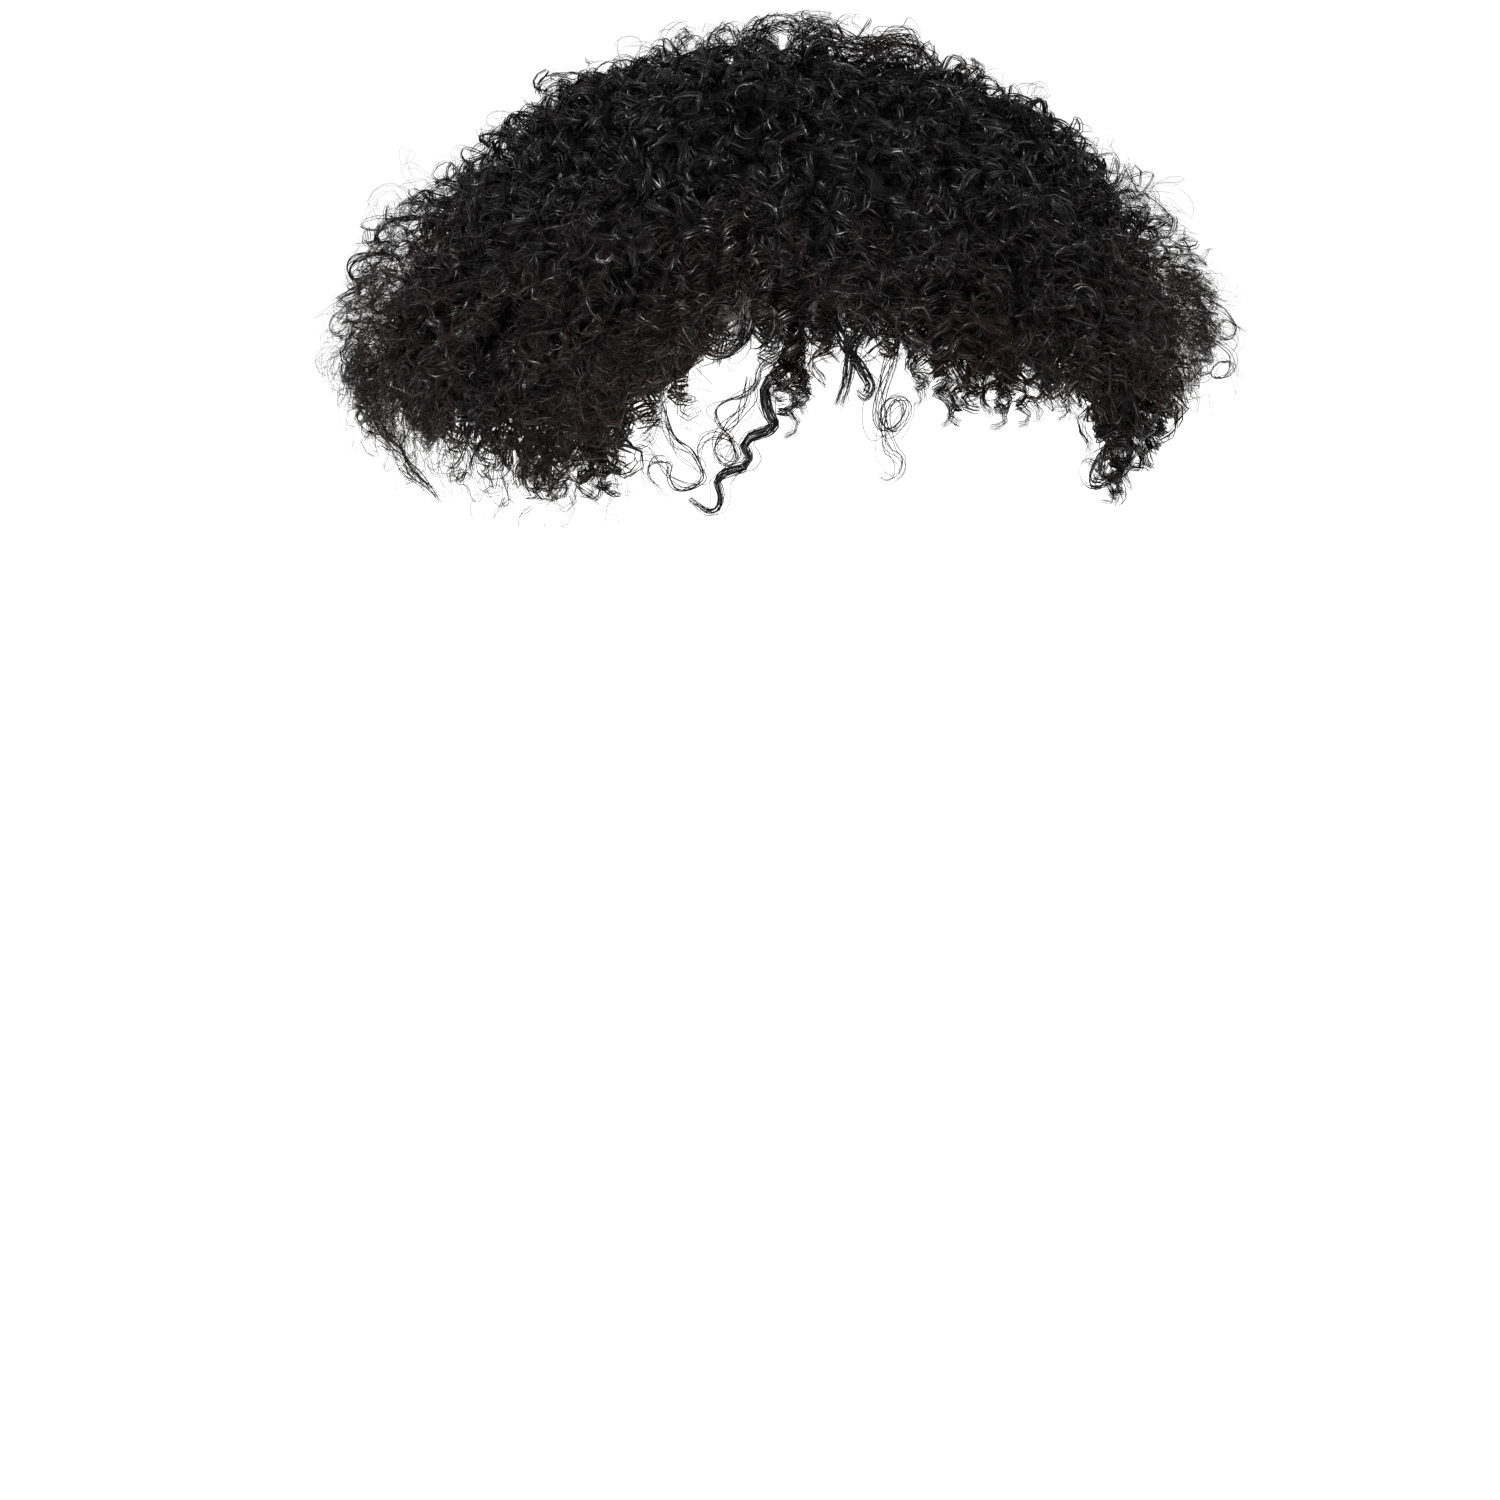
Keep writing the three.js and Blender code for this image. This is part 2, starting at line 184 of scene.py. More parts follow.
BROAD = Waves(np.random.default_rng(7), 60 * MM)
SMALL = Waves(np.random.default_rng(9), 24 * MM)
LOBES = Waves(np.random.default_rng(8), 38 * MM)
FLOW = Waves(np.random.default_rng(10), 70 * MM)


def new_object(name, data):
    """A new object in the scene."""
    made = bpy.data.objects.new(name, data)
    bpy.context.scene.collection.objects.link(made)
    return made


def new_material(name):
    """A new material, its node tree and its shader."""
    material = bpy.data.materials.new(name)
    material.use_nodes = True
    return material, material.node_tree, material.node_tree.nodes["Principled BSDF"]


def ring_walls(rings, around, turned=False):
    """Quads between closed rings of as many points each, one after another, facing the other way
    where they are turned."""
    start = np.arange(rings - 1)[:, None] * around
    index = np.arange(around)[None, :]
    following = (index + 1) % around
    corners = [start + index, start + following, start + around + following, start + around + index]
    if turned:
        corners = corners[:1] + corners[:0:-1]
    return np.stack(corners, axis=-1).reshape(-1, 4)


class MeshMaker:
    """Gathers strips and surfaces, and makes one mesh of them."""

    def __init__(self):
        self.points, self.loops, self.sizes, self.uvs = [], [], [], []
        self.tone, self.along, self.slots = [], [], []
        self.count = 0
        self.triangles = 0

    def add(self, points, face_lists, uvs, tone, along, slot):
        """face_lists holds (n, 3) and (n, 4) arrays of point numbers. The rest have a row a point."""
        flat = points.reshape(-1, 3)
        self.points.append(flat)
        self.tone.append(tone.ravel())
        self.along.append(along.ravel())
        for faces in face_lists:
            self.loops.append((faces + self.count).ravel())
            self.sizes.append(np.full(len(faces), faces.shape[1]))
            self.uvs.append(uvs.reshape(-1, 2)[faces.ravel()])
            self.slots.append(np.full(len(faces), slot))
            self.triangles += len(faces) * (faces.shape[1] - 2)
        self.count += len(flat)

    def build(self, name, materials):
        """One object of all that was added, with its share of painted brown of light shining through and
        along kept on its points.
        """
        loops, sizes = np.concatenate(self.loops), np.concatenate(self.sizes)
        mesh = bpy.data.meshes.new(name)
        mesh.vertices.add(self.count)
        mesh.vertices.foreach_set("co", np.concatenate(self.points).astype(np.float32).ravel())
        mesh.loops.add(len(loops))
        mesh.loops.foreach_set("vertex_index", loops.astype(np.int32))
        mesh.polygons.add(len(sizes))
        starts = np.concatenate([[0], np.cumsum(sizes)[:-1]])
        mesh.polygons.foreach_set("loop_start", starts.astype(np.int32))
        mesh.polygons.foreach_set("material_index", np.concatenate(self.slots).astype(np.int32))
        mesh.update(calc_edges=True)
        layer = mesh.uv_layers.new(name="UVMap")
        layer.data.foreach_set("uv", np.concatenate(self.uvs).astype(np.float32).ravel())
        for attribute, rows in (("tone", self.tone), ("along", self.along)):
            made = mesh.attributes.new(attribute, "FLOAT", "POINT")
            made.data.foreach_set("value", np.concatenate(rows).astype(np.float32))
        mesh.shade_smooth()
        mesh.validate()
        for material in materials:
            mesh.materials.append(material)
        return new_object(name, mesh)


def strip_faces(strands, steps):
    """Quads between the steps of ribbons that have two points a step."""
    start = (np.arange(strands)[:, None] * steps + np.arange(steps - 1)[None, :]) * 2
    return np.stack([start, start + 1, start + 3, start + 2], axis=-1).reshape(-1, 4)


HAIR_BOXES = np.array([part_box(f"hair_{zone}") for zone in ZONES])
HAIR_BOX = HAIR_BOXES[:, 0].min(axis=0), HAIR_BOXES[:, 1].max(axis=0)
STRAY_START = 1.5 * MM
STRAY_ROOM = 5.4 * MM


def held_in(points):
    """Points drawn in, more and more, where they would stray from the box of the hair's solids."""
    low, high = HAIR_BOX
    above = np.maximum(points - high - STRAY_START, 0)
    below = np.maximum(low - STRAY_START - points, 0)
    kept = [STRAY_ROOM * np.tanh(over / STRAY_ROOM) for over in (above, below)]
    return points - (above - kept[0]) + (below - kept[1])


STRANDS_SLOT, CORE_SLOT = 0, 1
ROOT_WIDTH = 0.35
WIDENING_SHARE = 0.06
TIP_NARROWING = 0.8
UV_PER_MM = 0.1
STRAND_SEEDS = 977


def add_ribbons(maker, lines, facing, width, ridges, tone, roll):
    """Flat ribbons along lines (strand, step, axis). They face the facing directions, turned by
    roll, and each carries ridges strands side by side in its UVs."""
    strands, steps, _ = lines.shape
    along = np.broadcast_to(np.linspace(0, 1, steps), (strands, steps))
    tangent = unit(np.gradient(lines, axis=1))
    across = unit(np.cross(tangent, facing))
    face = np.cross(across, tangent)
    across = across * np.cos(roll)[:, None, None] + face * np.sin(roll)[:, None, None]
    taper = np.minimum(along / WIDENING_SHARE + ROOT_WIDTH, 1) * (1 - TIP_NARROWING * along**6)
    half = 0.5 * width[:, None, None] * taper[..., None]
    points = held_in(np.stack([lines - across * half, lines + across * half], axis=2))
    length = np.cumsum(np.linalg.norm(np.diff(lines, axis=1, prepend=lines[:, :1]), axis=-1), axis=1)
    u = np.repeat((length / MM * UV_PER_MM)[..., None], 2, axis=-1)
    seed = np.floor(tone * STRAND_SEEDS)[:, None]
    v = np.stack([seed + 0 * along, seed + ridges + 0 * along], axis=-1)
    both = np.repeat(along[..., None], 2, axis=-1)
    # Each strand's share of painted brown of light shining through thin hair, on all its points
    tones = np.broadcast_to(tone[:, None, None], both.shape)
    maker.add(points, [strip_faces(strands, steps)], np.stack([u, v], axis=-1), tones, both, STRANDS_SLOT)


ROW_TURN = 0.38
ROOT_SCATTER_AROUND = 0.45
ROOT_SCATTER_DOWN = 0.5
TOP_ZONE_GROWTH = 1.12


def rows_over(low, high, spacing, rng):
    """Roots spread evenly over the envelope between two arcs: their azimuths and their arcs."""
    azimuths, arcs = [], []
    for row, arc in enumerate(np.arange(low + spacing / 2, high, spacing)):
        point = envelope(np.array([math.pi / 2]), np.array([arc]), 0)[0]
        count = max(3, round(TAU * np.hypot(point[0], point[1]) / spacing))
        turn = (np.arange(count) + row * ROW_TURN) * TAU / count
        azimuths.append(turn + rng.uniform(-ROOT_SCATTER_AROUND, ROOT_SCATTER_AROUND, count) * TAU / count)
        arcs.append(arc + rng.uniform(-ROOT_SCATTER_DOWN, ROOT_SCATTER_DOWN, count) * spacing)
    return np.concatenate(azimuths) % TAU, np.abs(np.concatenate(arcs))


def zone_of(azimuth, arc):
    """The zone that each root lies in."""
    points = envelope(azimuth, arc, 0)
    on_top = np.hypot(points[:, 0] / TOP_ZONE_REACH[0], points[:, 1] / TOP_ZONE_REACH[1]) < TOP_ZONE_GROWTH
    names = np.full(len(azimuth), "top", dtype="<U8")
    for name, span in ZONES.items():
        if span:
            turned = (np.degrees(azimuth) - span[0]) % 360
            names[~on_top & (turned < span[1] - span[0])] = name
    return names


def smooth(share):
    """Eases shares from 0 to 1."""
    share = np.clip(share, 0, 1)
    return share * share * (3 - 2 * share)


# Where only loose hair is outside the dense hair: how deep it lies, the share of that at the front,
# the degrees from the front over which it grows, and the shares of the widest arc over which it does
AIRY_DEPTH = 12 * MM
AIRY_AT_FRONT = 0.35
AIRY_AROUND = 25, 65
AIRY_DOWN = 0.45, 0.95


def airy_depth(azimuth, arcs):
    """How much deeper the dense hair lies where only loose hair is outside it: low, and most at the
    sides and the back."""
    from_front = np.degrees(np.abs((azimuth + math.pi) % TAU - math.pi))
    around = smooth((from_front - AIRY_AROUND[0]) / (AIRY_AROUND[1] - AIRY_AROUND[0]))
    down = smooth((arcs / WIDEST_ARC - AIRY_DOWN[0]) / (AIRY_DOWN[1] - AIRY_DOWN[0]))
    return AIRY_DEPTH * (AIRY_AT_FRONT + (1 - AIRY_AT_FRONT) * around) * down


DRIFT_STRAIGHTENING = 0.6
SWELL_DEPTH = 3.2 * MM
TUFT_DEPTH = 2.6 * MM


def surface_guides(azimuth, arc, length, drift, depths, steps, airy):
    """Lines over the hair's outside, each from a root to its tip: down the meridian turned by drift,
    and from the first of its depths to the second in the middle and the third at the tip. With
    airy, they lie deeper by airy_depth."""
    t = np.linspace(0, 1, steps)[None, :]
    root, middle, tip = (depth[:, None] for depth in depths)
    run = length[:, None] * t
    heading = (azimuth + drift)[:, None] - drift[:, None] * DRIFT_STRAIGHTENING * t
    u = (arc * np.sin(azimuth))[:, None] + run * np.sin(heading)
    v = (arc * np.cos(azimuth))[:, None] + run * np.cos(heading)
    depth = middle + (root - middle) * (1 - t) ** 2.5 + (tip - middle) * np.maximum(t * 2 - 1, 0) ** 2
    arcs, bearing = np.hypot(u, v), np.arctan2(u, v)
    if airy:
        depth = depth + airy_depth(bearing, arcs)
    points = envelope(bearing, arcs, depth)
    return points - outward(points) * lumps(points[:, steps // 2])[:, None, None]


def lumps(points):
    """How far the hair's outside is sunk at points: broad swells and small tufts."""
    return SWELL_DEPTH * BROAD(points) + TUFT_DEPTH * SMALL(points)


def sway(shape, size, cycles, rng):
    """A smooth sideways drift for each of many lines, of a size in metres, from none at the root."""
    lines, steps = shape[:2]
    t = np.linspace(0, 1, steps)[None, :, None]
    total = 0
    for pace in (1, 2.3):
        phase = rng.uniform(0, TAU, (lines, 1, 3))
        amount = rng.normal(size=(lines, 1, 3)) / pace**0.7
        total = total + amount * (np.sin(TAU * cycles * pace * t + phase) - np.sin(phase))
    return size * total * 0.6


# What a curl has at the crown, as shares of what it has at the hem: turns, tilt and painted brown of light
# shining through thin hair, of which the dense crown gets less
CROWN_TURNS = 0.62
CROWN_TILT = 0.4
CROWN_SHINE_THROUGH = 0.15
# How uneven a curl's turns and radius are along it, and how it and its band narrow
UNEVEN_TURNS = 0.05
UNEVEN_RADIUS = 0.15
ROOT_RADIUS = 0.4
FULL_RADIUS_SHARE = 0.25
TIP_RADIUS_LOSS = 0.3
TIP_BAND_LOSS = 0.45
TILT_FLATTENING = 0.45
BAND_SCATTER = 0.25 * MM
GUIDE_SWAYS = 1.1
STRAND_SWAYS = 1.7
USUAL_ROLL = 0.6


def add_curls(maker, guides, layer, rng, low=1):
    """Winds each guide into a curl and lays a band of strands along it, side by side. low goes from
    0 at the crown, where curls get less painted brown of light shining through and are flatter and more
    stretched, to 1 at the hem."""
    count, steps, _ = guides.shape
    t = np.linspace(0, 1, steps)[None, :]
    guides = guides + sway(guides.shape, layer["sway"] * MM, GUIDE_SWAYS, rng)
    tangent = unit(np.gradient(guides, axis=1))
    out = outward(guides)
    out = unit(out - tangent * (out * tangent).sum(axis=-1, keepdims=True))
    side = np.cross(tangent, out)
    length = np.linalg.norm(np.diff(guides, axis=1), axis=-1).sum(axis=1) / MM
    low = np.broadcast_to(low, count)
    turns = length / rng.uniform(*layer["pitch"], count) * (CROWN_TURNS + (1 - CROWN_TURNS) * low)
    uneven = np.sin(TAU * (t * 1.3 + rng.uniform(0, 1, (count, 1))))
    hand = rng.choice([-1, 1], (count, 1))
    start = rng.uniform(0, TAU, (count, 1))
    angle = start + hand * TAU * turns[:, None] * (t + UNEVEN_TURNS * uneven)
    radius = rng.uniform(*layer["radius"], (count, 1)) * MM * (1 + UNEVEN_RADIUS * uneven)
    radius = radius * np.minimum(ROOT_RADIUS + t / FULL_RADIUS_SHARE, 1) * (1 - TIP_RADIUS_LOSS * t**3)
    radial = out * np.cos(angle)[..., None] + side * np.sin(angle)[..., None]
    tilt = layer.get("tilt", 0) * (CROWN_TILT + (1 - CROWN_TILT) * low)[:, None]
    flattened = (1 - TILT_FLATTENING * tilt) * np.cos(angle)
    lean = out * flattened[..., None] + tangent * (tilt * np.cos(angle))[..., None]
    middle = guides + (lean + side * np.sin(angle)[..., None]) * radius[..., None]

    copies = layer["strands"]
    across = unit(np.cross(unit(np.gradient(middle, axis=1)), radial))
    place = (np.arange(copies) + 0.5) / copies - 0.5
    band = rng.uniform(*layer["band"], (count, 1)) * MM
    offset = (band * place[None, :]).ravel() + rng.normal(0, BAND_SCATTER, count * copies)
    lift = rng.normal(0, layer["loose"] * MM, count * copies)
    middle, across, radial = (np.repeat(x, copies, axis=0) for x in (middle, across, radial))
    narrow = (1 - TIP_BAND_LOSS * t**2)[..., None]
    lines = middle + across * offset[:, None, None] * narrow + radial * lift[:, None, None]
    lines = lines + sway(lines.shape, layer["stray"] * MM, STRAND_SWAYS, rng)

    total = count * copies
    width = rng.uniform(*layer["width"], total) * MM
    # Painted light: brown for light shining through thin hair, less at the crown, of random strength per
    # strand
    shine_through_by_height = np.repeat(CROWN_SHINE_THROUGH + (1 - CROWN_SHINE_THROUGH) * low, copies)
    tone = rng.uniform(0, 1, total) ** 2 * layer["shine_through_brown"] * shine_through_by_height
    roll = rng.uniform(-1, 1, total) * layer.get("roll", USUAL_ROLL)
    add_ribbons(maker, lines, radial, width, layer["ridges"], tone, roll)


# Colours of black hair and of the painted brown of light shining through its thin ends, and of the dark
# mass under them
HAIR_BLACK = 0.0010, 0.0011, 0.0013, 1
HAIR_SHINE_THROUGH_BROWN = 0.019, 0.0085, 0.0055, 1
CORE_BLACK = 0.002, 0.0018, 0.0018, 1
CORE_BROWN = 0.003, 0.0025, 0.0025, 1
HAIR_IOR = 1.5
RIDGE_RELIEF = 0.9
# Painted shine-through brown: its share of a strand's shine at its root and what it gains to its tip, where
# light shines through the thinner end, and the random brown that noise adds
ROOT_SHINE_THROUGH = 0.2
TIP_SHINE_THROUGH = 0.8
NOISE_BROWN = 0.03
TONE_PATCHES = 1.3
GLINT_PATCHES = 0.9
GLINT_RANGE = 0.50, 0.70
DULL_GLOSS = 0.02
ROUGHNESS_RANGE = -0.08, 0.12


def math_node(tree, operation, *values):
    """The output of a new Math node. Its inputs are numbers, or the outputs of other nodes."""
    node = tree.nodes.new("ShaderNodeMath")
    node.operation = operation
    for socket, value in zip(node.inputs, values):
        if isinstance(value, bpy.types.NodeSocket):
            tree.links.new(value, socket)
        else:
            socket.default_value = value
    return node.outputs["Value"]


def noise_node(tree, scale, detail, vector):
    """The output of a new Noise Texture node."""
    node = tree.nodes.new("ShaderNodeTexNoise")
    node.inputs["Scale"].default_value = scale
    node.inputs["Detail"].default_value = detail
    tree.links.new(vector, node.inputs["Vector"])
    return node.outputs["Fac"]


def range_node(tree, value, low, high):
    """A new Map Range node, which takes a value from 0 to 1 to between low and high."""
    node = tree.nodes.new("ShaderNodeMapRange")
    node.inputs["To Min"].default_value = low
    node.inputs["To Max"].default_value = high
    tree.links.new(value, node.inputs["Value"])
    return node


def point_value(tree, name):
    """The output of a number that the mesh keeps on its points."""
    node = tree.nodes.new("ShaderNodeAttribute")
    node.attribute_name = name
    return node.outputs["Fac"]


def add_relief(tree, shader, height, strength, distance, inverted=False):
    """Bumps a shader's surface by a height."""
    node = tree.nodes.new("ShaderNodeBump")
    node.inputs["Strength"].default_value = strength
    node.inputs["Distance"].default_value = distance
    node.invert = inverted
    tree.links.new(height, node.inputs["Height"])
    tree.links.new(node.outputs["Normal"], shader.inputs["Normal"])


def hair_material(name, black, shine_through_brown, roughness, gloss, bump):
    """Dark strands: painted brown of light shining through them, growing with each strand's share and
    towards the tip, and a little random brown tint them; the UVs carry the ridges of single strands, of
    which a few glint."""
    material, tree, shader = new_material(name)
    shader.inputs["IOR"].default_value = HAIR_IOR
    uv = tree.nodes.new("ShaderNodeUVMap")
    uv.uv_map = "UVMap"
    split = tree.nodes.new("ShaderNodeSeparateXYZ")
    tree.links.new(uv.outputs["UV"], split.inputs["Vector"])
    ridge = math_node(tree, "PINGPONG", split.outputs["Y"], 0.5)
    add_relief(tree, shader, math_node(tree, "POWER", ridge, 0.5), RIDGE_RELIEF, bump)

    place = tree.nodes.new("ShaderNodeCombineXYZ")
    tree.links.new(split.outputs["X"], place.inputs["X"])
    tree.links.new(math_node(tree, "FLOOR", split.outputs["Y"]), place.inputs["Y"])
    noise = noise_node(tree, TONE_PATCHES, 2, place.outputs["Vector"])
    # Painted light: brown for light shining through thin hair, by each strand's share and growing to its
    # tip, plus random brown from noise
    shine_through_to_tip = math_node(tree, "MULTIPLY_ADD", point_value(tree, "along"), TIP_SHINE_THROUGH, ROOT_SHINE_THROUGH)
    toned = math_node(tree, "MULTIPLY", shine_through_to_tip, point_value(tree, "tone"))
    mottle_and_shine_through = math_node(tree, "MULTIPLY_ADD", noise, NOISE_BROWN, toned)
    mottle_and_shine_through.node.use_clamp = True
    colour = tree.nodes.new("ShaderNodeMix")
    colour.data_type = "RGBA"
    colour.inputs["A"].default_value = black
    colour.inputs["B"].default_value = shine_through_brown
    tree.links.new(mottle_and_shine_through, colour.inputs["Factor"])
    tree.links.new(colour.outputs["Result"], shader.inputs["Base Color"])

    glint = noise_node(tree, GLINT_PATCHES, 1, place.outputs["Vector"])
    shine = range_node(tree, glint, DULL_GLOSS, gloss)
    shine.interpolation_type = "SMOOTHSTEP"
    shine.inputs["From Min"].default_value = GLINT_RANGE[0]
    shine.inputs["From Max"].default_value = GLINT_RANGE[1]
    tree.links.new(shine.outputs["Result"], shader.inputs["Specular IOR Level"])
    rough = range_node(tree, noise, roughness + ROUGHNESS_RANGE[0], roughness + ROUGHNESS_RANGE[1])
    tree.links.new(rough.outputs["Result"], shader.inputs["Roughness"])
    return material


# The net's cells in a metre, and its look from the middle of a thread to the gap between threads
NET_CELLS = 700
NET_ROUGHNESS = 0.8
NET_RELIEF = 0.8
NET_RELIEF_DEPTH = 0.4 * MM
NET_STOPS = (
    dict(position=0.05, color=(0.007, 0.006, 0.0055, 1)),
    dict(position=0.22, color=(0.002, 0.0018, 0.0018, 1)),
)


def base_material():
    """Fine knotted net: a small lattice in relief, darker between its threads."""
    material, tree, shader = new_material("base_net")
    shader.inputs["Roughness"].default_value = NET_ROUGHNESS
    coordinates = tree.nodes.new("ShaderNodeTexCoord")
    cells = tree.nodes.new("ShaderNodeTexVoronoi")
    cells.feature = "DISTANCE_TO_EDGE"
    cells.inputs["Scale"].default_value = NET_CELLS
    tree.links.new(coordinates.outputs["Object"], cells.inputs["Vector"])
    ramp = tree.nodes.new("ShaderNodeValToRGB")
    for element, stop in zip(ramp.color_ramp.elements, NET_STOPS):
        element.position = stop["position"]
        element.color = stop["color"]
    tree.links.new(cells.outputs["Distance"], ramp.inputs["Fac"])
    tree.links.new(ramp.outputs["Color"], shader.inputs["Base Color"])
    add_relief(tree, shader, cells.outputs["Distance"], NET_RELIEF, NET_RELIEF_DEPTH, inverted=True)
    return material


# The dark mass under the curls: how deep it lies, how far above the hem it ends but not above a share
# of WIDEST_DEPTH, and its faces
CORE_DEPTH = 17 * MM
CORE_HEM_LIFT = 28 * MM
CORE_UNDERSIDE_FALL = 8 * MM
CORE_TO_BASE = 2.5 * MM
CORE_STRANDS = 130
CORE_LEAST_SHARE = 0.36
CORE_ROWS, CORE_COLUMNS = 12, 24
TOP_ARC = 70 * MM
TOP_CORE_START = 2 * MM
TOP_CORE_COLUMNS = 48
TOP_CORE_RINGS_OUTSIDE, TOP_CORE_RINGS_INSIDE = 9, 7
BASE_SHARE_COVERED = 0.8
UV_UNEVENNESS = 3


def core_bottom(azimuth):
    """The dark mass's depth below the crown at azimuths."""
    return np.maximum(hem_depth(azimuth) - CORE_HEM_LIFT, CORE_LEAST_SHARE * WIDEST_DEPTH)


def core_surface(azimuth, arc, depth):
    """Points on the dark mass's outside, with the hair's lumps."""
    points = envelope(azimuth, arc, depth)
    return points - outward(points) * lumps(points)[:, None]


def covered_depth(point, azimuth):
    """The depth on the base's outside that lies under a point of the dark mass's edge."""
    trial = np.linspace(0, HEAD_DOME_HEIGHT, CURVE_SAMPLES)
    inside = head_point(np.full(CURVE_SAMPLES, azimuth), trial, BASE_WALL + CORE_TO_BASE)
    radius = np.hypot(inside[:, 0], inside[:, 1])
    wanted = BASE_SHARE_COVERED * np.hypot(point[0], point[1])
    return trial[min(np.searchsorted(radius, wanted), CURVE_SAMPLES - 1)]


def core_section(azimuth):
    """A closed section of a side's dark mass: down its outside, and up along the base."""
    around = np.full(CORE_ROWS, azimuth)
    hem = core_bottom(azimuth)
    end = WIDEST_ARC + hem - WIDEST_DEPTH
    if hem < WIDEST_DEPTH:
        trial = np.linspace(0, WIDEST_ARC, ARC_TRIALS)
        heights = envelope(np.full(ARC_TRIALS, azimuth), trial, CORE_DEPTH)[:, 2]
        end = trial[np.searchsorted(-heights, hem)]
    down = np.linspace(TOP_ARC, end, CORE_ROWS)
    outer = core_surface(around, down, CORE_DEPTH + airy_depth(around, down))
    lowest = -outer[-1, 2] + CORE_UNDERSIDE_FALL
    depths = np.linspace(lowest, covered_depth(outer[0], azimuth), CORE_ROWS)
    return np.concatenate([outer, head_point(around, depths, BASE_WALL + CORE_TO_BASE)])


def side_core(span):
    """The dark mass over a span of azimuths: its points, its faces and its strands across."""
    low, high = np.radians(span)
    azimuths = np.linspace(low, high, CORE_COLUMNS)
    points = np.array([core_section(azimuth) for azimuth in azimuths])
    around = 2 * CORE_ROWS
    pairs = np.arange(CORE_ROWS - 1)
    facing = around - 1 - pairs
    first = np.stack([pairs, facing, facing - 1, pairs + 1], axis=-1)
    last = first[:, ::-1] + (CORE_COLUMNS - 1) * around
    faces = [ring_walls(CORE_COLUMNS, around), first, last]
    return points, faces, azimuths[:, None] * CORE_STRANDS


def top_core():
    """The dark mass over the crown: its points, its faces and its strands across."""
    columns = TOP_CORE_COLUMNS
    turn = np.arange(columns) * TAU / columns
    depth = np.full(columns, CORE_DEPTH)
    rings = []
    for arc in np.linspace(TOP_CORE_START, TOP_ARC, TOP_CORE_RINGS_OUTSIDE):
        rings.append(core_surface(turn, np.full(columns, arc), depth))
    covered = np.array([covered_depth(edge, azimuth) for azimuth, edge in zip(turn, rings[-1])])
    for share in np.linspace(1, 0.1, TOP_CORE_RINGS_INSIDE):
        rings.append(head_point(turn, covered * share**2, BASE_WALL + CORE_TO_BASE))
    fan = np.arange(1, columns - 1)
    crown = np.stack([0 * fan, fan, fan + 1], axis=-1)
    floor = np.stack([0 * fan, fan + 1, fan], axis=-1) + (len(rings) - 1) * columns
    points = np.array(rings)
    return points, [ring_walls(len(rings), columns, turned=True), crown, floor], points[..., 0] / MM


def add_core(maker, zone):
    """The dark mass of a zone, a closed body."""
    points, faces, across = side_core(ZONES[zone]) if ZONES[zone] else top_core()
    blank = np.zeros(points.shape[0] * points.shape[1])
    uneven = across + UV_UNEVENNESS * SMALL(points)
    uvs = np.stack([points[..., 2] / MM * UV_PER_MM, uneven], axis=-1)
    maker.add(points, faces, uvs, blank, blank, CORE_SLOT)


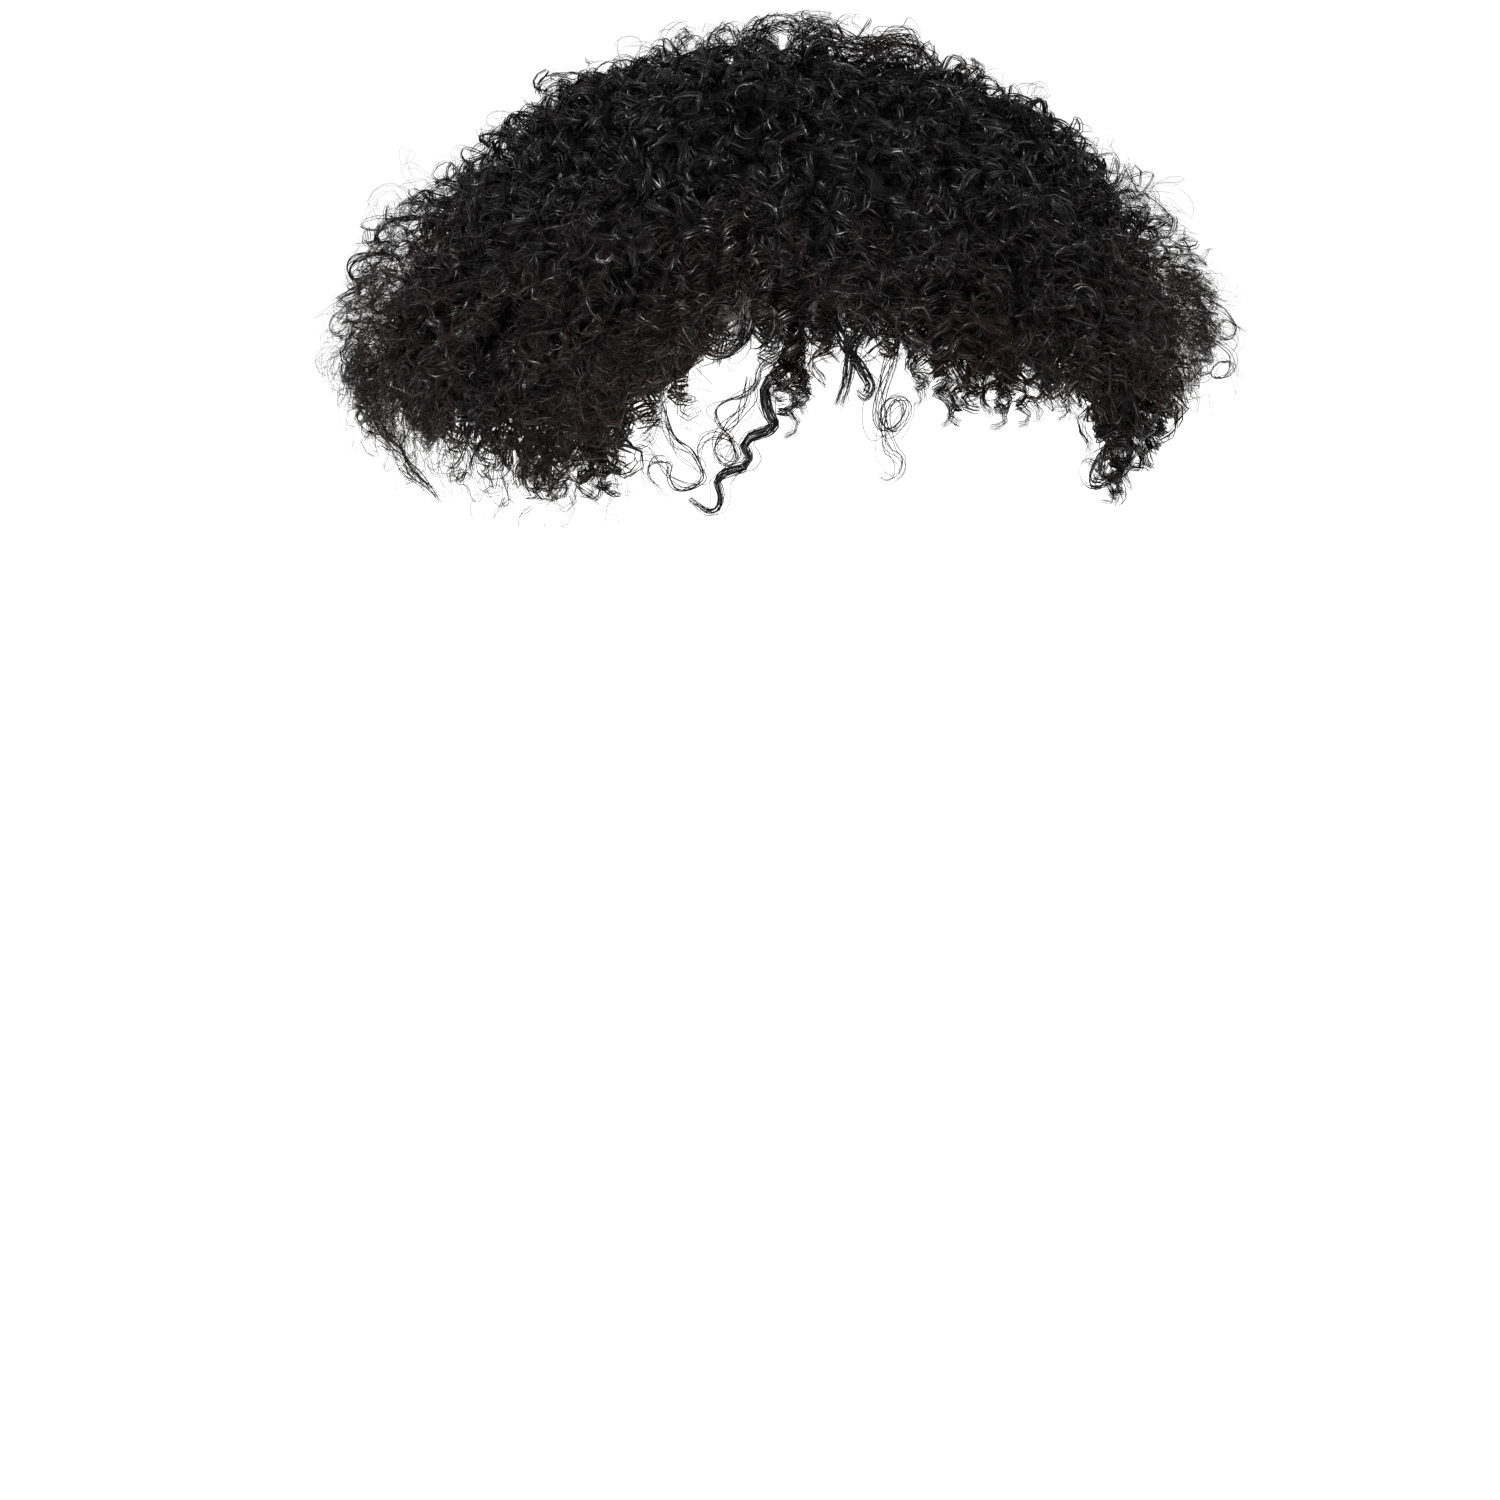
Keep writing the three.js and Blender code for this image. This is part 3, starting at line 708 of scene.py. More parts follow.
# Layers of curls on the outside, from the deepest to the loosest, in millimetres: spacing of the
# curls, the same in every zone where it is even, strands in one, steps along it, its length, depth at
# the root, the middle and the tip, and whether it lies deeper where the outside is airy. Then radius
# and pitch of its turns, band that its strands cover, looseness across it, sway of the whole, stray
# of each strand, tilt of its turns, a strand's width and ridges, its roll in radians, the curl's drift
# round the head in radians, and how much painted brown of light shining through thin hair it gets. Roots
# lie past the share of the widest arc that reach gives, and not further above the hem than hem_only. Tips
# hang up to as far as hang below the hem.
LAYERS = [
    dict(name="under", spacing=13.0, even=True, strands=4, steps=16, length=(26, 40),
         depth=(20, 12, 10), airy=True, radius=(3.4, 5.0), pitch=(12, 18), band=(4, 8),
         loose=1.0, sway=2.0, stray=0.7, width=(0.8, 1.3), ridges=3, drift=0.7, shine_through_brown=0.1, hang=-5),
    dict(name="ringlets", spacing=14.0, strands=8, steps=38, length=(24, 38), depth=(12, 5.5, 6), airy=True,
         radius=(3.2, 5.2), pitch=(7, 10.5), band=(1.8, 4.0), loose=0.4, sway=2.4, stray=0.35, tilt=0.8,
         width=(0.32, 0.6), ridges=2, drift=0.9, shine_through_brown=0.35),
    dict(name="waves", spacing=17.5, strands=9, steps=20, length=(32, 52), depth=(11, 4.0, 5), airy=True,
         radius=(2.2, 3.8), pitch=(11, 18), band=(2.4, 5), loose=0.4, sway=2.0, stray=0.4, tilt=0.3,
         width=(0.3, 0.56), ridges=2, drift=0.5, shine_through_brown=0.3),
    dict(name="loops", spacing=16.5, strands=4, steps=32, length=(12, 20), depth=(8, 0.5, 4),
         radius=(3.0, 5.2), pitch=(6, 8.5), band=(0.6, 2.0), loose=0.3, sway=1.5, stray=0.25, tilt=0.7,
         width=(0.22, 0.36), ridges=1, drift=0.9, shine_through_brown=0.6),
    dict(name="fluff", spacing=14.0, strands=5, steps=44, length=(16, 28), depth=(12, 1.5, 4.0),
         radius=(3.4, 6.2), pitch=(6.5, 9), band=(0.6, 2.4), loose=0.35, sway=3.0, stray=0.35, tilt=0.9,
         width=(0.14, 0.26), ridges=1, drift=1.1, shine_through_brown=1.0, reach=0.62, hang=9, roll=1.5),
    dict(name="frizz", spacing=17.0, strands=2, steps=32, length=(14, 26), depth=(6, -1.5, 3),
         radius=(2.6, 5.0), pitch=(8, 12), band=(1, 5), loose=0.6, sway=2.0, stray=0.5, tilt=0.5,
         width=(0.12, 0.2), ridges=1, drift=1.2, shine_through_brown=0.8, roll=1.5),
    dict(name="flyaway", spacing=19.0, strands=3, steps=44, length=(16, 30), depth=(6, -4.5, -4.5),
         radius=(3.6, 7.0), pitch=(9, 14), band=(1, 5), loose=0.8, sway=4.0, stray=1.2,
         tilt=0.6, width=(0.08, 0.13), ridges=1, drift=1.2, shine_through_brown=1.0, reach=0.6, hang=12, roll=1.5),
    dict(name="wisps", spacing=10.5, strands=4, steps=44, length=(22, 38), depth=(10, 6.0, 5.0),
         radius=(3.2, 6.2), pitch=(7.5, 10.5), band=(0.8, 3), loose=0.5, sway=4.0, stray=0.5, tilt=0.8,
         width=(0.12, 0.24), ridges=1, drift=0.5, shine_through_brown=1.0, hem_only=24, hang=24, roll=1.5),
]

# By zone: spacing of its curls as a share of the table's, and how loose its hem is
ZONE_SPACING = {"top": 0.81, "fringe": 1.36, "left": 1.02, "back": 1.24, "right": 1.15}
LOOSE_HEM = {"top": 1, "fringe": 0.5, "left": 0.9, "back": 0.6, "right": 1}
HEM_LOBE = 7 * MM
USUAL_HANG = 6
HANG_RANGE = -0.4, 1
LOWEST_WISP = 6 * MM
CROWN_WHORL = 36 * MM
ROOTS_PAST_WIDEST = 40 * MM
LENGTH_ABOVE_HEM = 0.85
MIDDLE_SCATTER = 2 * MM
TIP_SCATTER = 2.5 * MM


def add_layer(maker, layer, zone, rng):
    """One layer of LAYERS over a zone."""
    spacing = layer["spacing"] * (1 if layer.get("even") else ZONE_SPACING[zone]) * MM
    azimuth, arc = rows_over(0, WIDEST_ARC + ROOTS_PAST_WIDEST, spacing, rng)
    loose = LOOSE_HEM[zone]
    lobes = LOBES(envelope(azimuth, 0 * azimuth + WIDEST_ARC, 0))
    hem = arcs_at(hem_depth(azimuth)) + loose * HEM_LOBE * lobes
    chosen = (zone_of(azimuth, arc) == zone) & (arc < hem)
    chosen &= arc > layer.get("reach", 0) * WIDEST_ARC
    if "hem_only" in layer:
        chosen &= arc > hem - layer["hem_only"] * MM
    azimuth, arc, hem = azimuth[chosen], arc[chosen], hem[chosen]
    count = len(arc)
    length = rng.uniform(*layer["length"], count) * MM
    below = rng.uniform(*HANG_RANGE, count) * layer.get("hang", USUAL_HANG) * loose * MM
    below = np.minimum(below, HEM_DEPTH + LOWEST_WISP - hem_depth(azimuth))
    arc = np.minimum(arc, hem + below - LENGTH_ABOVE_HEM * length)
    root, middle, tip = (np.full(count, depth) * MM for depth in layer["depth"])
    middle = middle + rng.uniform(-MIDDLE_SCATTER, MIDDLE_SCATTER, count)
    tip = tip + rng.uniform(-TIP_SCATTER, TIP_SCATTER, count)
    flow = FLOW(envelope(azimuth, arc, 0 * arc))
    drift = layer["drift"] * (1.3 * flow + rng.normal(0, 0.4, count))
    drift = drift + rng.uniform(-math.pi, math.pi, count) * (1 - smooth(arc / CROWN_WHORL))
    low = smooth((arc / WIDEST_ARC - 0.5) / 0.5)
    depths = (root, middle, tip)
    airy = layer.get("airy", False)
    guides = surface_guides(azimuth, arc, length, drift, depths, layer["steps"], airy)
    add_curls(maker, guides, layer, rng, low)


# Curls hung below the dense hair over the forehead and airy ones at the temple: azimuth in degrees,
# depths of the root and the tip below the crown and radius in millimetres, strands, the curl's lean
# to the wearer's left, and how far its tip is sunk in millimetres
HUNG_COLUMNS = ("azimuth", "root", "tip", "radius", "strands", "lean", "sunk")
FRINGE_CURLS = (
    (-48, 20, 60, 3.2, 9, 0.1, 8), (-45.5, 18, 54, 3.4, 10, -0.1, 8), (-43, 16, 48, 3.2, 11, 0.1, 8),
    (-40.5, 16, 47, 3.4, 11, 0.1, 8), (-38, 18, 50, 3.2, 11, -0.1, 8),
    (-36, 36, 72, 3.2, 12, 0.1, 7), (-34, 34, 84, 3.2, 17, 0.0, 7), (-33, 34, 92, 3.4, 20, 0.0, 7),
    (-31.5, 34, 88, 3.0, 20, 0.1, 7), (-30, 36, 84, 3.4, 18, -0.1, 7), (-28.5, 34, 78, 3.0, 14, 0.1, 7),
    (-26, 36, 68, 3.2, 11, -0.1, 7), (-22, 36, 64, 3.2, 10, 0.1, 7), (-18, 36, 70, 3.2, 12, 0.1, 7),
    (-14.5, 36, 84, 3.2, 15, 0.2, 7), (-13, 38, 78, 3.4, 14, -0.1, 7), (-11, 38, 90, 3.0, 17, 0.2, 7),
    (-9, 38, 86, 3.4, 16, -0.1, 7), (-7, 40, 92, 3.2, 17, 0.1, 7), (-5.5, 40, 84, 3.4, 14, -0.1, 7),
    (-4, 42, 90, 3.0, 17, 0.1, 7), (-2, 42, 86, 3.4, 16, -0.1, 7), (0, 44, 93, 3.2, 17, 0.1, 7),
    (2, 46, 88, 3.0, 16, 0.1, 7), (3.5, 46, 95, 3.4, 16, -0.1, 7), (6, 50, 93, 3.2, 16, 0.1, 6),
    (8, 54, 90, 3.4, 14, -0.1, 6), (12, 58, 94, 3.2, 11, 0.1, 5), (17, 62, 100, 3.4, 11, -0.1, 4),
    (21, 66, 106, 3.8, 13, 0.1, 3), (24, 68, 114, 4.0, 13, -0.1, 2), (27, 70, 116, 3.8, 13, 0.1, 2),
    (29.5, 74, 118, 3.8, 15, -0.1, 1), (33, 76, 123, 3.6, 17, 0.1, 1), (36.5, 78, 124, 4.2, 15, -0.1, 1),
    (40, 76, 120, 4.0, 14, 0.1, 1), (44, 74, 116, 4.2, 12, 0.1, 2), (48, 70, 108, 4.0, 11, -0.1, 2),
)
# Keys as in LAYERS, its brown share being painted light shining through thin hair
FRINGE_LAYER = dict(pitch=(7, 10), band=(3.0, 5.6), loose=0.5, sway=2.4, stray=0.45, tilt=0.35,
                    width=(0.32, 0.6), ridges=1, shine_through_brown=0.45, roll=1.2)
TEMPLE_CURLS = (
    (-66, 84, 112, 4.2, 8, 0.1, 5), (-63, 80, 114, 4.4, 8, 0.0, 5), (-60.5, 74, 108, 4.2, 8, 0.0, 5),
    (-58.5, 70, 112, 4.4, 8, -0.2, 5), (-57, 64, 104, 4.6, 8, 0.2, 5), (-55.5, 58, 110, 4.2, 8, 0.1, 5),
    (-54, 54, 98, 4.6, 9, -0.1, 5), (-53, 50, 90, 4.4, 9, 0.1, 5), (-52, 48, 106, 4.6, 8, 0.1, 5),
    (-50.5, 44, 84, 4.4, 9, 0.0, 5), (-49, 42, 98, 4.2, 8, -0.1, 5), (-47.5, 40, 78, 4.6, 9, 0.1, 5),
    (-46, 38, 92, 4.6, 7, 0.0, 5), (-44.5, 36, 70, 4.4, 8, 0.1, 5), (-42, 34, 64, 4.2, 7, 0.1, 5),
)
# Keys as in LAYERS, its brown share being painted light shining through thin hair
TEMPLE_LAYER = dict(pitch=(8, 12), band=(2.0, 6.0), loose=0.9, sway=3.4, stray=0.8, tilt=0.6,
                    width=(0.16, 0.34), ridges=1, shine_through_brown=1.0, roll=1.4)
HUNG_STEPS_PER_MM = 0.7
HUNG_ROOT_SINK = 12
RADIUS_SPREAD = 0.9, 1.1
# Loose strands beside each hung curl, their brown share being painted light shining through thin hair
LOOSE_BESIDE = dict(strands=2, band=(2, 8), stray=1.3, width=(0.12, 0.24), shine_through_brown=1.0)


def add_hung_curls(maker, zone, rng):
    """The curls of FRINGE_CURLS and TEMPLE_CURLS that lie in a zone, and loose strands beside each."""
    low, high = ZONES[zone]
    for rows, layer in ((FRINGE_CURLS, FRINGE_LAYER), (TEMPLE_CURLS, TEMPLE_LAYER)):
        for row in (dict(zip(HUNG_COLUMNS, values)) for values in rows):
            if (row["azimuth"] - low) % 360 > high - low:
                continue
            arcs = arcs_at(np.array([row["root"], row["tip"]]) * MM)
            length = arcs[1:] - arcs[:1]
            sinks = (HUNG_ROOT_SINK, row["sunk"] + 2, row["sunk"])
            depths = [np.array([sink * MM]) for sink in sinks]
            steps = round(length[0] / MM * HUNG_STEPS_PER_MM)
            azimuth, lean = np.radians([row["azimuth"]]), np.array([row["lean"]])
            guides = surface_guides(azimuth, arcs[:1], length, lean, depths, steps, False)
            radius = [row["radius"] * share for share in RADIUS_SPREAD]
            curl = dict(layer, strands=row["strands"], radius=radius)
            add_curls(maker, guides, curl, rng)
            add_curls(maker, guides, dict(curl, **LOOSE_BESIDE), rng)


# Single locks that the photograph shows, from their roots to their tips: thickness in millimetres,
# strands, painted brown of light shining through them, stray of each strand, share that narrows to the tip,
# rounds that cut the corners off and the points that each passes. A point is its azimuth in degrees,
# millimetres below the crown, or along the surface from it in CROWN_LOCKS, and millimetres outside the
# surface.
FRINGE_LOCKS = (
    dict(lock="zigzag", thick=3.6, strands=30, shine_through_brown=0.15, rounds=1, path=(
        (-30, 49.4), (-31, 61.8), (-32, 71), (-36, 76.3), (-35.6, 84.8), (-34, 91.2), (-39.4, 95),
        (-37.8, 103.5), (-43.6, 107), (-42.8, 115.5), (-44.6, 120.5), (-48, 115))),
    dict(lock="thin zigzag", thick=1.8, strands=9, shine_through_brown=0.5, stray=0.8, path=(
        (-31, 51.5), (-33, 65.7), (-37, 70), (-37, 79.5), (-42.8, 82.7), (-42.8, 90.1), (-40, 95.4),
        (-42, 101.8))),
    dict(lock="ring", thick=3.4, strands=18, shine_through_brown=0.4, stray=0.9, path=(
        (-36, 37.1), (-38.4, 47.4), (-38.6, 57.7), (-40.6, 66.4), (-43.6, 66.8), (-45.6, 60.2),
        (-45.4, 53.6), (-43.4, 49.4), (-41, 49.4), (-39, 53.6), (-39.2, 60.8))),
    dict(lock="hook", thick=4.8, strands=28, shine_through_brown=0.1, narrow=0.25, path=(
        (-14, 40), (-18, 50), (-21.6, 58), (-23.6, 65), (-24, 75), (-25.4, 84))),
    dict(lock="drop", thick=4.2, strands=26, shine_through_brown=0.1, narrow=0, path=(
        (-26, 48), (-25, 61), (-22.6, 69), (-20.4, 77), (-21.2, 82), (-22.6, 79))),
    dict(lock="loops", thick=3, strands=11, shine_through_brown=0.7, stray=1.5, path=(
        (-16, 59.7), (-18, 72.1), (-19.4, 82.7), (-19, 90.1), (-16.8, 93.9), (-14.6, 90.1),
        (-14.8, 83.7), (-17, 81.6), (-18.6, 86.9), (-17.8, 94.3), (-16.6, 99.6), (-14.2, 101.8),
        (-13.8, 107.1), (-16, 110.2), (-18.2, 106))),
    dict(lock="temple strand", thick=3, strands=9, shine_through_brown=0.9, stray=1.5, path=(
        (-38, 74.2), (-39, 86.9), (-42, 92.2), (-43.6, 98.6), (-42, 103.9), (-39.8, 100.7), (-41, 94.3),
        (-44, 93.3), (-46, 99.6), (-45, 106))),
    dict(lock="temple loops", thick=3.4, strands=9, shine_through_brown=0.9, stray=1.6, path=(
        (-50, 82.7), (-49, 95.4), (-46, 100.7), (-45, 108.1), (-48, 112.4), (-50.6, 108.1),
        (-50, 101.8), (-53, 100.7), (-54, 108.1), (-51, 114.5))),
    dict(lock="left ring", thick=3.6, strands=18, shine_through_brown=0.2, stray=0.9, path=(
        (24, 84, -3), (28, 94, -1), (30.4, 103, 1), (30.6, 111, 1), (28, 116.6, 0), (24.6, 117, -2),
        (22.4, 111.4, -3), (23.6, 104.8, -3), (27, 103.6, 0), (30, 108, 2))),
    dict(lock="left tail", thick=4, strands=16, shine_through_brown=0.3, stray=0.8, path=(
        (30, 98, -3), (29.4, 106, -1), (33, 112, 0), (32, 118, 0), (37.6, 123, 0), (36.6, 129, 0))),
)
CROWN_LOCKS = (
    dict(lock="dark hook", thick=6, strands=26, shine_through_brown=0.1, stray=0.9, path=(
        (20, 6, -6), (40, 6, -1), (60, 9, 2.4), (72, 14, 1), (80, 16, -4))),
    dict(lock="wave", thick=8, strands=34, shine_through_brown=0.45, stray=1.0, path=(
        (30, 13, 0), (42, 19, -2), (50, 28, -4), (53, 32, -1), (58, 37, 3), (62, 43, 4.5), (66, 47, 2),
        (70, 49, -4))),
    dict(lock="lower wave", thick=7, strands=24, shine_through_brown=0.4, stray=1.2, path=(
        (24, 24, -3), (34, 31, -4), (42, 38, -2), (49, 43, 1), (54, 51, 0), (60, 56, -5))),
    dict(lock="second wave", thick=6, strands=20, shine_through_brown=0.4, stray=1.2, path=(
        (96, 18, -3), (84, 27, -2), (73, 36, 1), (64, 43, 2.5), (58, 51, 2), (50, 56, -4))),
    dict(lock="left arc", thick=5.5, strands=12, shine_through_brown=0.3, stray=1.0, path=(
        (-104, 30, -6), (-112, 24, 0), (-123, 18, 2.6), (-140, 15, 0), (-152, 17, -5))),
    dict(lock="middle arc", thick=4.5, strands=10, shine_through_brown=0.3, stray=1.0, path=(
        (-160, 14, -5), (-146, 10, 1), (-123, 5, 2.0), (-80, 5, -2), (-60, 7, -6))),
    dict(lock="crown tuft", thick=6, strands=18, shine_through_brown=0.2, stray=1.2, path=(
        (-150, 12, -5), (-140, 8, 1), (-123, 3, 3.6), (40, 4, 3), (20, 9, -3))),
    dict(lock="crown strand", thick=5, strands=16, shine_through_brown=0.2, stray=1.2, path=(
        (-100, 17, -3), (-108, 9, 0.5), (57, 0.5, 1), (84, 9, -1), (92, 16, -4))),
    dict(lock="small ring", thick=2.2, strands=7, shine_through_brown=0.2, path=(
        (-121, 33, -2), (-122, 35, 3), (-123, 33, 5.5), (-124, 31, 4), (-125, 33, 0))),
    dict(lock="shoulder arc", thick=4.5, strands=14, shine_through_brown=0.3, stray=0.9, path=(
        (-119, 84, 2), (-121, 80, 5.5), (-123, 74, 4.5), (-126, 67, 0), (-128, 64, -6))),
    dict(lock="right shoulder arc", thick=4, strands=14, shine_through_brown=0.6, stray=0.9, path=(
        (53, 60, -6), (55, 61, 1), (57, 65, 3.4), (59, 70, 1.5), (61, 68, -4))),
)
RIGHT_LOCKS = (
    dict(lock="upper hook", thick=2.4, strands=20, shine_through_brown=0.2, path=(
        (-123, 32, -6), (-123, 35, 1), (-123, 40, 4), (-124, 44, 1), (-124, 41, -3), (-125, 46, -2),
        (-125, 49, 2))),
    dict(lock="middle hook", thick=2.2, strands=16, shine_through_brown=0.2, path=(
        (-122, 45, -5), (-122, 48, 3), (-122, 52, 6), (-122, 56, 2), (-122, 54, -3), (-122, 59, -1),
        (-122, 62, 5))),
    dict(lock="lower hook", thick=2.4, strands=10, shine_through_brown=0.3, path=(
        (-123, 64, -5), (-123, 67, 3), (-123, 72, 5), (-123, 75, 0), (-123, 72, -4), (-123, 78, -3),
        (-123, 81, 4))),
    dict(lock="low ring", thick=2.2, strands=9, shine_through_brown=0.5, path=(
        (-123, 95, -6), (-123, 99, -1), (-123, 101, 3), (-123, 105, 3.4), (-123, 108, -1), (-123, 106, -5),
        (-123, 102, -5), (-123, 99, -1))),
    dict(lock="tail", thick=6, strands=26, shine_through_brown=0.6, stray=1.0, path=(
        (-122, 86, -7), (-123, 93, -4), (-118, 99, -6), (-118, 105, -3), (-112, 110, -6), (-111, 116, -4),
        (-105.6, 120, -7), (-104, 126, -8))),
)
LEFT_LOCKS = (
    dict(lock="outer loops", thick=4, strands=9, shine_through_brown=1.0, path=(
        (57, 58, -6), (57, 62, 2), (57, 68, 8), (57, 74, 8), (57, 76, 3), (57, 71, 1), (57, 68, 6),
        (57, 74, 11))),
    dict(lock="lower loops", thick=4, strands=9, shine_through_brown=1.0, path=(
        (56, 72, -6), (56, 76, 2), (56, 82, 7), (56, 88, 6), (56, 88, 1), (56, 83, 1), (56, 82, 6),
        (56, 88, 10))),
    dict(lock="far strands", thick=6, strands=5, shine_through_brown=1.0, path=(
        (58, 66, -6), (58, 70, 5), (58, 77, 9), (58, 81, 5), (58, 86, 8), (58, 92, 12), (58, 99, 9))),
)
PLACED_LOCKS = {"top": CROWN_LOCKS, "fringe": FRINGE_LOCKS, "left": LEFT_LOCKS, "right": RIGHT_LOCKS}
LOCK_STEPS = 56
USUAL_LOCK_SINK = 10
USUAL_STRAY = 0.5
USUAL_NARROWING = 0.6
USUAL_ROUNDS = 2
CORNER_CUT = 0.25
# The share of a lock's strands that lie loose, and how they differ from the rest
LOOSE_SHARE = 0.3
LOOSE_REACH = 0.5
LOOSE_STRAY = 1.0
LOOSE_THINNING = 0.45
LOCK_SWAYS = 2.0
LOCK_WIDTH = 0.26 * MM, 0.56 * MM
THIN_LOCK = 12
THIN_LOCK_WIDTH = 0.8


def smoothed(corners, rounds):
    """A line of points with its corners cut off."""
    for _ in range(rounds):
        first, last = corners[:1], corners[-1:]
        near = (1 - CORNER_CUT) * corners[:-1] + CORNER_CUT * corners[1:]
        far = CORNER_CUT * corners[:-1] + (1 - CORNER_CUT) * corners[1:]
        cut = np.stack([near, far], axis=1).reshape(-1, corners.shape[1])
        corners = np.concatenate([first, cut, last])
    return corners


def lock_line(row, on_crown):
    """The middle line of a row of the tables of locks, in even steps."""
    path = np.array([(*point, -USUAL_LOCK_SINK)[:3] for point in row["path"]], float)
    azimuth = np.radians(path[:, 0])
    down = path[:, 1] * MM
    arcs = down if on_crown else arcs_at(down)
    corners = smoothed(envelope(azimuth, arcs, -path[:, 2] * MM), row.get("rounds", USUAL_ROUNDS))
    length = np.concatenate([[0], np.cumsum(np.linalg.norm(np.diff(corners, axis=0), axis=1))])
    even = np.linspace(0, length[-1], LOCK_STEPS)
    return np.stack([np.interp(even, length, corners[:, axis]) for axis in range(3)], axis=-1)


def add_locks(maker, rows, on_crown, rng):
    """Locks from a table: strands that keep together along a path, the last few of them loosely."""
    for row in rows:
        line = lock_line(row, on_crown)
        strands = row["strands"]
        tangent = unit(np.gradient(line, axis=0))
        out = outward(line)
        side = unit(np.cross(tangent, out))
        turn = rng.uniform(0, TAU, strands)
        reach = np.sqrt(rng.uniform(0, 1, strands)) * row["thick"] / 2 * MM
        loose = (np.arange(strands) >= strands * (1 - LOOSE_SHARE)) * 1.0
        t = np.linspace(0, 1, LOCK_STEPS)[None, :, None]
        spoke = side[None] * np.cos(turn)[:, None, None] + out[None] * np.sin(turn)[:, None, None]
        narrowed = 1 - row.get("narrow", USUAL_NARROWING) * t**1.5
        lines = line[None] + spoke * (reach * (1 + LOOSE_REACH * loose))[:, None, None] * narrowed
        stray = (row.get("stray", USUAL_STRAY) + LOOSE_STRAY * loose)[:, None, None]
        lines = lines + sway(lines.shape, 1 * MM, LOCK_SWAYS, rng) * stray
        width = rng.uniform(*LOCK_WIDTH, strands) * (THIN_LOCK_WIDTH if strands < THIN_LOCK else 1)
        width = width * (1 - LOOSE_THINNING * loose)
        # Painted light: brown for light shining through the lock's strands, of random strength per strand
        tone = rng.uniform(0, 1, strands) ** 2 * row["shine_through_brown"]
        facing = np.broadcast_to(out[None], lines.shape)
        add_ribbons(maker, lines, facing, width, 1, tone, rng.uniform(-1, 1, strands))


# Curls that fill the hair's thickness below its dark mass: their places from the head to the outside
# as shares, and how far above the hem they end
INSIDE_ROWS = ((0.06, 8 * MM), (0.36, 9 * MM), (0.68, 8 * MM))
INSIDE_SPACING = 13 * MM
INSIDE_STEPS = 20
INSIDE_AROUND = 0.8
INSIDE_CLEARANCE = 6 * MM
INSIDE_DEPTH = 20 * MM
INSIDE_HEM_SCATTER = 5 * MM
INSIDE_OVERLAP = 5 * MM
INSIDE_LEAST_LENGTH = 14 * MM
# Keys as in LAYERS, its brown share being painted light shining through thin hair
INSIDE_LAYER = dict(strands=8, radius=(3.2, 5.0), pitch=(8, 12), band=(4, 8), loose=0.8, sway=2.5,
                    stray=0.6, width=(0.5, 0.8), ridges=2, shine_through_brown=0.2)


def add_inside(maker, zone, rng):
    """Curls under the dark mass, between the head and the outer layers."""
    low, high = np.radians(ZONES[zone])
    for share, lift in INSIDE_ROWS:
        count = round((high - low) * INSIDE_AROUND * SIDE_REACH / INSIDE_SPACING)
        azimuth = low + (high - low) * (np.arange(count) + rng.uniform(0.1, 0.9, count)) / count
        scatter = rng.uniform(-INSIDE_HEM_SCATTER, INSIDE_HEM_SCATTER, count)
        hem = hem_depth(azimuth) - lift + scatter
        top = np.minimum(core_bottom(azimuth) - INSIDE_OVERLAP, hem - INSIDE_LEAST_LENGTH)
        t = np.linspace(0, 1, INSIDE_STEPS)[None, :]
        depth = top[:, None] + (hem - top)[:, None] * t
        around = azimuth[:, None] + 0 * t
        near = head_point(around, depth, INSIDE_CLEARANCE)
        far = envelope(around, arcs_at(depth), INSIDE_DEPTH)
        guides = near + (far - near) * (share + rng.uniform(-0.1, 0.1, (count, 1, 1)))
        guides[..., 2] = -depth
        add_curls(maker, guides, INSIDE_LAYER, rng)


SEED = 1100


def make_hair(materials):
    """The curls of each zone, as one piece each."""
    for number, zone in enumerate(ZONES):
        rng = np.random.default_rng(SEED + number)
        maker = MeshMaker()
        add_core(maker, zone)
        for layer in LAYERS:
            add_layer(maker, layer, zone, rng)
        if ZONES[zone]:
            add_inside(maker, zone, rng)
            add_hung_curls(maker, zone, rng)
        add_locks(maker, PLACED_LOCKS.get(zone, ()), zone == "top", rng)
        piece = maker.build(f"curls_{zone}", materials)
        print("curls", zone, maker.triangles, "triangles", tuple(round(d / MM) for d in piece.dimensions))
        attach(piece, "root")
        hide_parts(f"hair_{zone}")


BASE_COLUMNS, BASE_ROWS = 72, 14
BASE_TOP_HOLE = 0.02


def make_base():
    """The net base: a thin dome, closed round its rim and by small flat faces at its top."""
    turn = np.arange(BASE_COLUMNS) * TAU / BASE_COLUMNS
    rim = BASE_RIM_DEPTH * outline("rim", turn)
    shares = np.linspace(BASE_TOP_HOLE, 1, BASE_ROWS)
    rings = []
    for offset, ordered in ((BASE_WALL, shares), (0, shares[::-1])):
        for share in ordered:
            depth = (rim + offset) * (1 - math.cos(share * math.pi / 2)) - offset
            rings.append(head_point(turn, depth, offset))
    walls = ring_walls(len(rings), BASE_COLUMNS).tolist()
    outside_top = list(range(BASE_COLUMNS))[::-1]
    inside_top = [(len(rings) - 1) * BASE_COLUMNS + column for column in range(BASE_COLUMNS)]
    mesh = bpy.data.meshes.new("net_base")
    mesh.from_pydata(np.array(rings).reshape(-1, 3).tolist(), [], walls + [outside_top, inside_top])
    mesh.shade_smooth()
    mesh.materials.append(base_material())
    piece = new_object("net_base", mesh)
    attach(piece, "root")
    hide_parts("base_cap")


